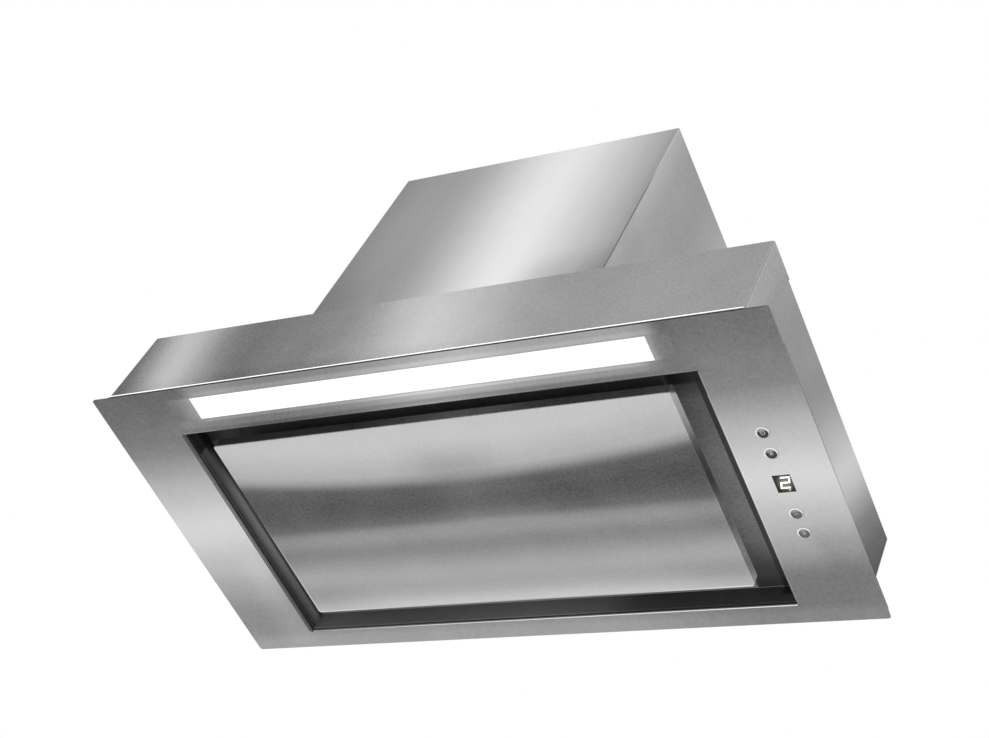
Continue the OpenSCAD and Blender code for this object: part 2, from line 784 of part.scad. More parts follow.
// The hinge pins, with a head at each end
module panel_hinge_pins() {
    half_l = knuckle_w / 2 + gap + ear_t + gap;
    color("gray") for (side = [-1, 1]) translate([side * hinge_x, hinge_y, hinge_z]) {
        bar_x(-half_l, half_l, hinge_pin_r);
        bar_x(-half_l - sheet_t, -half_l, hinge_pin_r + sheet_t);
        bar_x(half_l, half_l + sheet_t, hinge_pin_r + sheet_t);
    }
}

// The magnets that hold the front of the panel up
module catch_magnets() {
    color("black") for (side = [-1, 1])
        block(side * catch_x - catch_w / 2, side * catch_x + catch_w / 2, catch_y0, catch_y1,
            keeper_z1 + gap, ceiling_z0);
}

// The steel keepers on the panel, one under each magnet
module catch_keepers() {
    web_y0 = catch_y0 - keeper_t;
    color("lightgray") for (side = [-1, 1]) translate([side * catch_x, 0, 0]) {
        block(-catch_w / 2, catch_w / 2, web_y0, catch_y1, sheet_t, sheet_t + keeper_t);
        block(-catch_w / 2, catch_w / 2, web_y0, web_y0 + keeper_t, sheet_t, keeper_z1);
        block(-catch_w / 2, catch_w / 2, web_y0, catch_y1, keeper_z1 - keeper_t, keeper_z1);
    }
}

// The frame of one filter: a channel all round, and the tongue at the back
module filter_frame(side) {
    y0 = filter_y - filter_d / 2;
    y1 = filter_y + filter_d / 2;
    half_w = filter_w / 2;
    slot_w = bolt_w / 2 + gap;
    color("lightgray") translate([side * filter_cx, 0, 0]) difference() {
        union() {
            block(-half_w, half_w, y0, y1, filter_z0, filter_z0 + filter_h);
            block(-tongue_w / 2, tongue_w / 2, y1 - filter_wall, y1 + tongue_l,
                bolt_z - bolt_t / 2, bolt_z + bolt_t / 2);
        }
        block(-half_w + filter_wall, half_w - filter_wall, y0 + filter_wall, y1 - filter_wall,
            filter_z0 + filter_wall, filter_z0 + filter_h - filter_wall);
        block(-half_w + filter_lip, half_w - filter_lip, y0 + filter_lip, y1 - filter_lip,
            filter_z0 - overrun, filter_z0 + filter_h + overrun);
        block(-slot_w, slot_w, y0 - overrun, y0 + filter_wall + overrun,
            bolt_z - bolt_t / 2 - gap, bolt_z + bolt_t / 2 + gap);
    }
}

module filter_frame_left() { filter_frame(-1); }

module filter_frame_right() { filter_frame(1); }

// The blocks of aluminium mesh in the filters, cut back round the latches
module filter_mesh() {
    y0 = filter_y - filter_d / 2 + filter_wall;
    y1 = filter_y + filter_d / 2 - filter_wall;
    half_w = filter_w / 2 - filter_wall;
    notch_w = handle_w / 2 + 2 * gap;
    notch_y1 = y0 + filter_lip + latch_travel + handle_d;
    color("gainsboro") for (side = [-1, 1]) translate([side * filter_cx, 0, 0]) difference() {
        block(-half_w, half_w, y0, y1, filter_z0 + filter_wall, filter_z0 + filter_h - filter_wall);
        block(-notch_w, notch_w, y0 - overrun, notch_y1, filter_z0, filter_z0 + filter_h);
    }
}

// One latch: a bolt through the filter's front wall, and a handle below the filter
module latch(side) {
    bolt_y0 = bay_y0 - sheet_t - bolt_reach;
    tab_y0 = filter_y - filter_d / 2 + filter_lip + gap;
    tab_y1 = tab_y0 + handle_t;
    handle_z1 = filter_z0 - gap;
    color("dimgray") translate([side * filter_cx, 0, 0]) {
        block(-bolt_w / 2, bolt_w / 2, bolt_y0, tab_y1, bolt_z - bolt_t / 2, bolt_z + bolt_t / 2);
        block(-bolt_w / 2, bolt_w / 2, tab_y0, tab_y1, handle_z1 - handle_t, bolt_z - bolt_t / 2);
        block(-handle_w / 2, handle_w / 2, tab_y0, tab_y0 + handle_d, handle_z1 - handle_t, handle_z1);
    }
}

module latch_left() { latch(-1); }

module latch_right() { latch(1); }

// The guides that the latch bolts slide in, on the filters' lower lips
module latch_guides() {
    y0 = filter_y - filter_d / 2 + filter_wall;
    y1 = filter_y - filter_d / 2 + filter_lip - gap;
    z0 = filter_z0 + filter_wall;
    z1 = bolt_z + bolt_t / 2 + gap + filter_wall;
    slot_w = bolt_w / 2 + gap;
    color("black") for (side = [-1, 1]) translate([side * filter_cx, 0, 0]) difference() {
        block(-slot_w - filter_wall, slot_w + filter_wall, y0, y1, z0, z1);
        block(-slot_w, slot_w, y0 - overrun, y1 + overrun,
            bolt_z - bolt_t / 2 - gap, bolt_z + bolt_t / 2 + gap);
    }
}

// The opal lens, flush with the plate's underside, and its lip inside the channel
module light_lens() {
    color("white") {
        block(-lens_x, lens_x, lens_y - lens_half_d, lens_y + lens_half_d, plate_z0, plate_z1);
        block(-lens_x - lens_lip, lens_x + lens_lip, lens_y - lens_half_d - lens_lip,
            lens_y + lens_half_d + lens_lip, plate_z1, plate_z1 + lens_lip_t);
    }
}

// The aluminium channel over the lens
module light_channel() {
    color("lightgray") difference() {
        block(-channel_x, channel_x, lens_y - channel_half_d, lens_y + channel_half_d, plate_z1, channel_z1);
        block(-channel_x + channel_t, channel_x - channel_t, lens_y - channel_half_d + channel_t,
            lens_y + channel_half_d - channel_t, plate_z1 - overrun, channel_z1 - channel_t);
    }
}

// The light's circuit board, against the roof of the channel
module light_board() {
    color("white") block(-lens_x, lens_x, lens_y - lens_half_d + channel_t, lens_y + lens_half_d - channel_t,
        light_board_z0, light_board_z0 + board_t);
}

// The light-emitting chips in a row under their board
module light_chips() {
    pitch = lens_w / chip_n;
    color("khaki") for (i = [0 : chip_n - 1])
        translate([-lens_x + (i + 0.5) * pitch, lens_y, light_board_z0 - chip_h / 2])
            cube([chip_w, chip_w, chip_h], center = true);
}

// The driver of the light, under the body's top
module light_driver() {
    color("white") difference() {
        block(-supply_x - driver_w / 2, -supply_x + driver_w / 2, -driver_l / 2, driver_l / 2,
            driver_z0, lid_z0);
        block(-supply_x - driver_w / 2 + housing_t, -supply_x + driver_w / 2 - housing_t,
            -driver_l / 2 - overrun, -driver_l / 2 + housing_t, driver_z0 + housing_t, lid_z0 - housing_t);
    }
}

// A push button: the cap in its bezel, the collar behind the sleeve and the stem to the switch
module button(y) {
    color("darkgray") translate([control_x, y, 0]) {
        translate([0, 0, cap_z0]) cylinder(r = button_r, h = collar_z0 - cap_z0, $fn = small_fn);
        translate([0, 0, collar_z0]) cylinder(r = cap_collar_r, h = cap_collar_t, $fn = small_fn);
        translate([0, 0, stem_z0]) cylinder(r = stem_r, h = stem_l, $fn = small_fn);
    }
}

module button_power() { button(button_ys[0]); }

module button_lamp() { button(button_ys[1]); }

module button_minus() { button(button_ys[2]); }

module button_plus() { button(button_ys[3]); }

// The bright bezels round the buttons, with sleeves through the plate
module button_bezels() {
    color("white") for (y = button_ys) translate([control_x, y, 0]) difference() {
        union() {
            translate([0, 0, plate_z0 - bezel_h]) cylinder(r = bezel_r, h = bezel_h, $fn = small_fn);
            translate([0, 0, plate_z0 - bezel_h])
                cylinder(r = bezel_sleeve_r, h = sleeve_z1 - plate_z0 + bezel_h, $fn = small_fn);
        }
        translate([0, 0, plate_z0 - bezel_h - overrun])
            cylinder(r = sleeve_r, h = sleeve_z1 - plate_z0 + bezel_h + 2 * overrun, $fn = small_fn);
    }
}

// The dark window of the display, flush in the plate
module display_window() {
    color("darkolivegreen") translate([control_x, control_y, plate_z0 + window_t / 2])
        cube([window_w, window_d, window_t], center = true);
}

// One stroke of the digit, between two points of its upright grid
module stroke(a, b) {
    polygon([for (p = [[min(a[0], b[0]) - stroke_w / 2, min(a[1], b[1]) - stroke_w / 2],
        [max(a[0], b[0]) + stroke_w / 2, min(a[1], b[1]) - stroke_w / 2],
        [max(a[0], b[0]) + stroke_w / 2, max(a[1], b[1]) + stroke_w / 2],
        [min(a[0], b[0]) - stroke_w / 2, max(a[1], b[1]) + stroke_w / 2]])
        [p[0] - digit_slant_share * p[1], p[1]]]);
}

// The lit strokes of the figure two and its point; its head lies towards the front
module display_digit() {
    half_w = (digit_w - stroke_w) / 2;
    half_h = (digit_h - stroke_w) / 2;
    point_y = half_h + 1.5 * stroke_w;
    color("lemonchiffon") translate([control_x + digit_dx, control_y + digit_dy, digit_z0])
        linear_extrude(height = segment_t) {
            stroke([-half_w, -half_h], [half_w, -half_h]);
            stroke([half_w, -half_h], [half_w, 0]);
            stroke([-half_w, 0], [half_w, 0]);
            stroke([-half_w, 0], [-half_w, half_h]);
            stroke([-half_w, half_h], [half_w, half_h]);
            stroke([half_w, point_y], [half_w, point_y]);
        }
}

// The body of the display module, between its light guides and the board
module display_module() {
    color("black") block(control_x - window_w / 2, control_x + window_w / 2, control_y - window_d / 2,
        control_y + window_d / 2, module_z0, control_board_z0);
}

// The plastic box over the controls, with posts that carry the board
module control_housing() {
    x0 = control_x - housing_w / 2;
    x1 = control_x + housing_w / 2;
    y0 = control_y - housing_l / 2;
    y1 = control_y + housing_l / 2;
    post_w = 2 * housing_t;
    color("white") {
        difference() {
            block(x0, x1, y0, y1, plate_z1, housing_z1);
            block(x0 + housing_t, x1 - housing_t, y0 + housing_t, y1 - housing_t,
                plate_z1 - overrun, housing_z1 - housing_t);
        }
        for (x = [x0 + housing_t, x1 - housing_t - post_w], y = [y0 + housing_t, y1 - housing_t - post_w])
            block(x, x + post_w, y, y + post_w, plate_z1, control_board_z0);
    }
}

// The board behind the buttons
module control_board() {
    inner_w = housing_w - 2 * housing_t - 2 * gap;
    inner_l = housing_l - 2 * housing_t - 2 * gap;
    color("seagreen") translate([control_x, control_y, control_board_z0 + board_t / 2])
        cube([inner_w, inner_l, board_t], center = true);
}

// The tact switches under the board, one over each stem
module tact_switches() {
    color("dimgray") for (y = button_ys) translate([control_x, y, 0]) {
        translate([0, 0, switch_z0 + sheet_t + (switch_h - sheet_t) / 2])
            cube([switch_w, switch_w, switch_h - sheet_t], center = true);
        translate([0, 0, switch_z0]) cylinder(r = stem_r, h = sheet_t, $fn = small_fn);
    }
}

// A point of the scroll's spiral, pushed out by an offset, at a share of its turn
function scroll_point(share, out) =
    let (angle = tongue_angle + share * (360 - tongue_angle),
        r = scroll_r0 + (scroll_r1 - scroll_r0) * share + out)
    [r * cos(angle), r * sin(angle)];

// The outline of the scroll, closed across its throat at the given height
function scroll_outline(out, top) = concat(
    [[scroll_point(0, 0)[0] - out, top], scroll_point(0, 0) + [-out, out]],
    [for (i = [1 : scroll_steps]) scroll_point(i / scroll_steps, out)],
    [[scroll_r1 + out, top]]);

// Turns a drawing in Y and Z to stand upright, and sets it at the fan's axis
module at_fan(x) {
    translate([x, fan_y, fan_z]) rotate([90, 0, 90]) children();
}

// The wall of the scroll, wound round the impeller and up to the outlet
module scroll_band() {
    color("lightgray") difference() {
        at_fan(-scroll_half_w) linear_extrude(height = scroll_w)
            polygon(scroll_outline(sheet_t, throat_h));
        at_fan(-scroll_half_w - overrun) linear_extrude(height = scroll_w + 2 * overrun)
            polygon(scroll_outline(0, throat_h + overrun));
    }
}

// The two sides of the scroll with their round inlets; the right one carries the motor
module scroll_sides() {
    color("lightgray") for (side = [-1, 1]) at_fan(side < 0 ? -scroll_side_x : scroll_half_w)
        linear_extrude(height = sheet_t) difference() {
            polygon(scroll_outline(sheet_t, throat_h));
            circle(inlet_r + inlet_curve, $fn = fine_fn);
            if (side > 0) arm_spots() circle(screw_r + running_gap, $fn = small_fn);
        }
}

// The flared rings in the two inlets
module inlet_rings() {
    ring_r = inlet_r + inlet_curve - running_gap;
    color("gainsboro") for (side = [-1, 1]) translate([0, fan_y, fan_z]) rotate([0, side * 90, 0])
        rotate_extrude($fn = fine_fn) {
            translate([ring_r - overrun, scroll_side_x])
                square([inlet_flange + overrun + running_gap, sheet_t]);
            intersection() {
                difference() {
                    translate([ring_r, inlet_x0 + sheet_t]) circle(inlet_curve, $fn = small_fn);
                    translate([ring_r, inlet_x0 + sheet_t]) circle(inlet_curve - sheet_t, $fn = small_fn);
                }
                translate([ring_r - inlet_curve, inlet_x0 + sheet_t]) square([inlet_curve, inlet_curve]);
            }
        }
}

// The duct from the scroll's throat to the round hole in the box's top
module outlet_duct() {
    lip = sheet_t / 10;
    z1 = box_z1 - sheet_t;
    throat_d = throat_y1 - throat_y0;
    color("lightgray") difference() {
        hull() {
            translate([0, collar_y, throat_z + lip / 2])
                cube([scroll_w + 2 * sheet_t, throat_d + 2 * sheet_t, lip], center = true);
            translate([0, collar_y, z1 - lip]) cylinder(r = collar_r, h = lip, $fn = fine_fn);
        }
        hull() {
            translate([0, collar_y, throat_z - overrun + lip / 2])
                cube([scroll_w, throat_d, lip], center = true);
            translate([0, collar_y, throat_z + lip / 2]) cube([scroll_w, throat_d, lip], center = true);
            translate([0, collar_y, z1 - lip]) cylinder(r = collar_inner_r, h = lip, $fn = fine_fn);
            translate([0, collar_y, z1 + overrun]) cylinder(r = collar_inner_r, h = lip, $fn = fine_fn);
        }
    }
}

// The section of one blade, which bends forward as it runs outwards, and ends inside the rings
function blade_point(share, side) =
    let (r = fan_inner_r + (fan_r - blade_t - fan_inner_r) * share,
        lean = blade_lean * share * share + side * asin(blade_t / (2 * r)))
    [r * cos(lean), r * sin(lean)];

// The squirrel-cage impeller: blades between two rings, on a disc with a hub
module impeller() {
    shares = [0, 0.35, 0.7, 1];
    hub_x0 = disc_t / 2 - hub_l;
    color("gray") at_fan(0) difference() {
        union() {
            for (i = [0 : blade_n - 1]) rotate(i * 360 / blade_n) translate([0, 0, -fan_w / 2])
                linear_extrude(height = fan_w) polygon(concat([for (s = shares) blade_point(s, -1)],
                    [for (i = [len(shares) - 1 : -1 : 0]) blade_point(shares[i], 1)]));
            for (z = [-fan_w / 2, fan_w / 2 - end_ring_w]) translate([0, 0, z]) difference() {
                cylinder(r = fan_r, h = end_ring_w, $fn = fine_fn);
                translate([0, 0, -overrun])
                    cylinder(r = fan_r - end_ring_d, h = end_ring_w + 2 * overrun, $fn = fine_fn);
            }
            translate([0, 0, -disc_t / 2])
                cylinder(r = fan_inner_r + blade_t, h = disc_t, $fn = fine_fn);
            translate([0, 0, hub_x0]) cylinder(r = hub_r, h = hub_l, $fn = small_fn);
        }
        translate([0, 0, hub_x0 - overrun])
            cylinder(r = shaft_r + running_gap, h = hub_l + 2 * overrun, $fn = small_fn);
    }
}

// The motor's shaft, from the hub to the far bearing
module motor_shaft() {
    color("silver") translate([0, fan_y, fan_z])
        bar_x(disc_t / 2 - hub_l - sheet_t, bracket_x0 - sheet_t, shaft_r);
}

// The motor's can, with a pocket for a bearing at each end
module motor_body() {
    x1 = bracket_x0;
    color("dimgray") translate([0, fan_y, fan_z]) difference() {
        union() {
            bar_x(motor_x0 + bearing_w, x1, motor_r, fine_fn);
            bar_x(motor_x0, x1, bearing_r + 2 * sheet_t);
        }
        bar_x(motor_x0 - overrun, x1 + overrun, shaft_r + 2 * gap);
        bar_x(motor_x0 - overrun, motor_x0 + bearing_w, bearing_r + running_gap);
        bar_x(x1 - bearing_w, x1 + overrun, bearing_r + running_gap);
    }
}

// The bearings at the motor's ends
module motor_bearings() {
    color("silver") translate([0, fan_y, fan_z]) for (x0 = [motor_x0, bracket_x0 - bearing_w])
        difference() {
            bar_x(x0, x0 + bearing_w, bearing_r);
            bar_x(x0 - overrun, x0 + bearing_w + overrun, shaft_r + running_gap);
        }
}

// The bracket that carries the motor in the right inlet, on three arms
module motor_bracket() {
    color("lightgray") at_fan(bracket_x0) linear_extrude(height = arm_t) difference() {
        union() {
            circle(bracket_ring_r, $fn = fine_fn);
            for (turn = [90, 210, 330]) rotate(turn) {
                translate([0, -arm_w / 2]) square([arm_screw_r, arm_w]);
                translate([arm_screw_r, 0]) circle(arm_w / 2, $fn = small_fn);
            }
        }
        circle(bearing_r, $fn = small_fn);
        arm_spots() circle(screw_r + running_gap, $fn = small_fn);
    }
}

// The motor's capacitor, upright beside the scroll
module capacitor() {
    z0 = body_z1 + capacitor_rise;
    color("whitesmoke") translate([clip_t + capacitor_r + running_gap - box_x + sheet_t, capacitor_y, z0]) {
        cylinder(r = capacitor_r, h = capacitor_l, $fn = small_fn);
        for (side = [-1, 1]) translate([0, side * capacitor_r / 3, capacitor_l])
            cylinder(r = screw_r, h = screw_l, $fn = small_fn);
    }
}

// The clip that holds the capacitor to the box's left side
module capacitor_clip() {
    z0 = body_z1 + capacitor_rise + (capacitor_l - clip_h) / 2;
    wall_x = -box_x + sheet_t;
    r = capacitor_r + running_gap;
    color("gray") translate([wall_x, capacitor_y, z0]) difference() {
        union() {
            translate([clip_t + r, 0, 0]) cylinder(r = r + clip_t, h = clip_h, $fn = small_fn);
            translate([0, -r, 0]) cube([clip_t, 2 * r, clip_h]);
        }
        translate([clip_t + r, 0, -overrun]) cylinder(r = r, h = clip_h + 2 * overrun, $fn = small_fn);
        translate([r + clip_t, -r / 2, -overrun]) cube([r + clip_t + overrun, r, clip_h + 2 * overrun]);
    }
}

// The plastic box under the body's top that holds the supply board
module supply_box() {
    x0 = supply_x - supply_w / 2;
    x1 = supply_x + supply_w / 2;
    color("white") difference() {
        block(x0, x1, -supply_l / 2, supply_l / 2, supply_z0, lid_z0);
        block(x0 + housing_t, x1 - housing_t, -supply_l / 2 + housing_t, supply_l / 2 - housing_t,
            supply_z0 + housing_t, lid_z0 + overrun);
    }
}

// The supply board, with its relay, transformer and terminal block
module supply_board() {
    x0 = supply_x - supply_w / 2 + housing_t + gap;
    x1 = supply_x + supply_w / 2 - housing_t - gap;
    half_l = supply_l / 2 - housing_t - gap;
    z0 = supply_z0 + housing_t;
    part_h_share = 0.7;
    part_z1 = z0 + board_t + (supply_h - housing_t - board_t) * part_h_share;
    third = (x1 - x0) / 3;
    color("seagreen") {
        block(x0, x1, -half_l, half_l, z0, z0 + board_t);
        block(x0 + gap, x0 + third, -half_l / 2, 0, z0 + board_t, part_z1);
        block(x1 - third, x1 - gap, -half_l / 2, half_l / 4, z0 + board_t, part_z1);
        block(x0 + third / 2, x1 - third / 2, half_l / 2, 3 * half_l / 4, z0 + board_t, part_z1);
    }
}

// The gland that takes the mains cable through the body's top
module cable_gland() {
    nut_h = gland_h / 4;
    color("black") translate([gland_x, gland_y, 0]) difference() {
        union() {
            translate([0, 0, lid_z0 - nut_h]) cylinder(r = gland_nut_r, h = nut_h, $fn = 6);
            translate([0, 0, lid_z0 - nut_h])
                cylinder(r = gland_r, h = nut_h + sheet_t + gland_h, $fn = small_fn);
            translate([0, 0, body_z1]) cylinder(r = gland_nut_r, h = nut_h, $fn = 6);
            translate([0, 0, body_z1 + nut_h])
                cylinder(r = gland_nut_r - sheet_t, h = 2 * nut_h, $fn = small_fn);
        }
        translate([0, 0, lid_z0 - nut_h - overrun])
            cylinder(r = cable_r, h = nut_h + sheet_t + gland_h + 2 * overrun, $fn = small_fn);
    }
}

// The collar that the duct slides over, with the ring that stops the flaps
module duct_collar() {
    color("black") translate([0, collar_y, 0]) difference() {
        translate([0, 0, tube_z0]) cylinder(r = collar_r, h = collar_z1 - tube_z0, $fn = fine_fn);
        difference() {
            translate([0, 0, box_z1 - overrun])
                cylinder(r = collar_inner_r, h = collar_h + 2 * overrun, $fn = fine_fn);
            difference() {
                translate([0, 0, stop_z1 - stop_h])
                    cylinder(r = collar_r, h = stop_h, $fn = fine_fn);
                translate([0, 0, stop_z1 - stop_h - overrun])
                    cylinder(r = collar_inner_r - stop_w, h = stop_h + 2 * overrun, $fn = fine_fn);
            }
        }
        translate([0, 0, axle_z]) bar_y(-collar_r - overrun, collar_r + overrun, axle_r + running_gap);
    }
}

// The flange at the foot of the collar, screwed to the top of the blower box
module collar_base() {
    color("black") difference() {
        translate([0, collar_y, box_z1]) cylinder(r = collar_flange_r, h = tube_z0 - box_z1, $fn = fine_fn);
        translate([0, collar_y, box_z1 - overrun])
            cylinder(r = collar_inner_r, h = tube_z0 - box_z1 + 2 * overrun, $fn = fine_fn);
        collar_spots() screw_hole(box_z1, tube_z0);
    }
}

// One sheet-metal screw, pointing down, with its head above zero
module sheet_screw() {
    cylinder(r = screw_head_r, h = screw_head_h, $fn = small_fn);
    translate([0, 0, -screw_l]) cylinder(r = screw_r, h = screw_l, $fn = small_fn);
}

// The screws of the box's folds, of the collar and of the motor bracket
module sheet_screws() {
    color("silver") {
        translate([0, 0, body_z1 + sheet_t]) side_fold_spots() sheet_screw();
        translate([0, 0, body_z1 + sheet_t]) end_fold_spots() sheet_screw();
        translate([0, 0, tube_z0]) collar_spots() sheet_screw();
        at_fan(bracket_x0 + arm_t) arm_spots() sheet_screw();
    }
}

// Where the knuckles of one flap start along the axle; the other flap's take turns with them
function knuckle_starts(side) = [for (i = [-1, 1])
    i * flap_r / 2 + (side < 0 ? -flap_knuckle_l - gap / 2 : gap / 2)];

// One half of the check valve, closed: a half disc with two knuckles on the axle
module flap(side) {
    color("gray") translate([0, collar_y, axle_z]) difference() {
        union() {
            intersection() {
                translate([0, 0, -flap_t / 2]) cylinder(r = flap_r, h = flap_t, $fn = fine_fn);
                block(side < 0 ? -collar_r : flap_edge, side < 0 ? -flap_edge : collar_r,
                    -collar_r, collar_r, -flap_t, flap_t);
            }
            for (y0 = knuckle_starts(side)) {
                bar_y(y0, y0 + flap_knuckle_l, flap_knuckle_r);
                block(side < 0 ? -flap_edge - sheet_t : 0, side < 0 ? 0 : flap_edge + sheet_t,
                    y0, y0 + flap_knuckle_l, -flap_t / 2, flap_t / 2);
            }
        }
        for (y0 = knuckle_starts(side))
            bar_y(y0 - overrun, y0 + flap_knuckle_l + overrun, axle_r + running_gap);
    }
}

module flap_left() { flap(-1); }

module flap_right() { flap(1); }

// The axle of both flaps, held in the collar's wall
module flap_axle() {
    color("silver") translate([0, collar_y, axle_z]) bar_y(gap - collar_r, collar_r - gap, axle_r);
}

trim_plate();
suction_frame();
body_front();
body_left_side();
body_right_side();
body_back();
body_top();
box_front();
box_left_side();
box_right_side();
box_back();
box_top();
perimeter_panel();
panel_hinge_leaves();
panel_hinge_brackets();
panel_hinge_pins();
catch_magnets();
catch_keepers();
filter_frame_left();
filter_frame_right();
filter_mesh();
latch_left();
latch_right();
latch_guides();
light_lens();
light_channel();
light_board();
light_chips();
light_driver();
button_power();
button_lamp();
button_minus();
button_plus();
button_bezels();
display_window();
display_digit();
display_module();
control_housing();
control_board();
tact_switches();
scroll_band();
scroll_sides();
inlet_rings();
outlet_duct();
impeller();
motor_shaft();
motor_body();
motor_bearings();
motor_bracket();
capacitor();
capacitor_clip();
supply_box();
supply_board();
cable_gland();
duct_collar();
collar_base();
flap_left();
flap_right();
flap_axle();
sheet_screws();
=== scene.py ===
"""Dresses the built-in range hood: sheet finishes, controls, light, filters and small fastenings."""

from __future__ import annotations

import json
import logging
import math
from dataclasses import dataclass
from enum import Enum
from typing import Any, ClassVar

import bmesh
import bpy
from mathutils import Matrix, Vector

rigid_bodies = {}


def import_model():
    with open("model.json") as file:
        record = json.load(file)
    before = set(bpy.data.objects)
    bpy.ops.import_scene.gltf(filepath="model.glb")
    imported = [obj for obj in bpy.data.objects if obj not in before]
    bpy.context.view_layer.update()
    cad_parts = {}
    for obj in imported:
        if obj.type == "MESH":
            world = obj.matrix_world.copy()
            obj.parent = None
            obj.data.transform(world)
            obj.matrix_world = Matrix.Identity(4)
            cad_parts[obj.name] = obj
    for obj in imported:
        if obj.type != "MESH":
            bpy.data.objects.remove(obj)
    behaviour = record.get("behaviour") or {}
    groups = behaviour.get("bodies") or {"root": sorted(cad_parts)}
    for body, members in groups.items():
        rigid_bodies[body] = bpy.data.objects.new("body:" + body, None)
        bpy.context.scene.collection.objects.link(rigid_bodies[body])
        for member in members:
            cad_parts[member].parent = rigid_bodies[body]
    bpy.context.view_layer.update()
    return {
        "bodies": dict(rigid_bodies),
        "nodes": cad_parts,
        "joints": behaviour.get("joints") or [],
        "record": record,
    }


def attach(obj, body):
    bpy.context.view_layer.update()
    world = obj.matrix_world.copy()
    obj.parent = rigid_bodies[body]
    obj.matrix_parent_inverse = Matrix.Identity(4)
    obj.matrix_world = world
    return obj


LOG = logging.getLogger("range_hood")
Pair = tuple[float, float]
Point = tuple[float, float, float]
# Places along an axis in millimetres, each with a display level
Stops = tuple[Pair, ...]

MM = 0.001
# A ratio of linear greys is about this power of the ratio of their display levels
GAMMA = 2.2
# Half the width of a border that looks sharp, and the least half width, in millimetres
EDGE = 0.03
LEAST_EDGE = 0.02
# The darkest grey that a trimmed sheet reaches
DARKEST = 0.004
# The grey at which the grain has its stated strength, and how far it grows on darker sheets
GRAIN_GREY = 0.3
GRAIN_MOST = 3.0
# The depth of the fine relief, in millimetres
RELIEF_MM = 0.03
# How much of its own grey a wall of the gap round the panel gives out as a painted glow, standing in for
# light that falls into the gap
WALL_PAINTED_GLOW = 0.78


class Axis(Enum):
    """An axis of the hood's frame."""

    X = 0
    Y = 1
    Z = 2


X, Y, Z = Axis


def linear(level: float) -> float:
    """The linear value of a display level from 0 to 255."""
    s = level / 255.0
    return s / 12.92 if s <= 0.04045 else ((s + 0.055) / 1.055) ** 2.4


def link(name: str, data: Any) -> bpy.types.Object:
    """Puts a new object in the scene.

    Args:
        name: the object's name.
        data: its mesh, camera or lamp.

    Returns:
        The new object.
    """
    made = bpy.data.objects.new(name, data)
    bpy.context.scene.collection.objects.link(made)
    return made


def mount(name: str, data: bpy.types.Mesh, body: str) -> bpy.types.Object:
    """Puts a finished piece on a body.

    Args:
        name: the piece's name.
        data: its mesh.
        body: the body that it rides on.

    Returns:
        The new piece.
    """
    made = link(name, data)
    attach(made, body)
    return made


class Value:
    """An output socket that can be used in sums, where each step adds a Math node."""

    def __init__(self, tree: Tree, socket: bpy.types.NodeSocket) -> None:
        """Keeps the socket and its tree."""
        self.tree = tree
        self.socket = socket

    def __add__(self, other: Any) -> Value:
        """The sum."""
        return self.tree.math("ADD", self, other)

    def __mul__(self, other: Any) -> Value:
        """The product."""
        return self.tree.math("MULTIPLY", self, other)

    def __sub__(self, other: Any) -> Value:
        """This less the other."""
        return self.tree.math("SUBTRACT", self, other)

    def __rsub__(self, other: Any) -> Value:
        """The other less this."""
        return self.tree.math("SUBTRACT", other, self)

    def __truediv__(self, other: Any) -> Value:
        """This shared by the other."""
        return self.tree.math("DIVIDE", self, other)

    def __rtruediv__(self, other: Any) -> Value:
        """The other shared by this."""
        return self.tree.math("DIVIDE", other, self)


class Tree:
    """Adds nodes to a node tree."""

    def __init__(self, tree: bpy.types.NodeTree) -> None:
        """Keeps the tree."""
        self.tree = tree

    def node(self, kind: str, feeds: dict[Any, Any] | None = None, **settings: Any) -> bpy.types.Node:
        """Adds a node.

        Args:
            kind: the node's type name.
            feeds: a value for each input, by the input's name or number.
            settings: attributes to set on the node.

        Returns:
            The new node.
        """
        made = self.tree.nodes.new(kind)
        for name, value in settings.items():
            setattr(made, name, value)
        for key, value in (feeds or {}).items():
            if isinstance(value, Value):
                self.tree.links.new(value.socket, made.inputs[key])
            else:
                made.inputs[key].default_value = value
        return made

    def make(self, kind: str, feeds: dict[Any, Any] | None = None, out: Any = 0, **settings: Any) -> Value:
        """Adds a node and takes one output of it.

        Args:
            kind: the node's type name.
            feeds: a value for each input, by the input's name or number.
            out: the name or number of the output.
            settings: attributes to set on the node.

        Returns:
            The output's value.
        """
        return Value(self, self.node(kind, feeds, **settings).outputs[out])

    def math(self, operation: str, a: Any, b: Any = 0.0, clamp: bool = False) -> Value:
        """One step of arithmetic.

        Args:
            operation: the Math node's operation.
            a: the first value.
            b: the second value.
            clamp: whether the result is kept between 0 and 1.

        Returns:
            The result.
        """
        return self.make("ShaderNodeMath", {0: a, 1: b}, operation=operation, use_clamp=clamp)


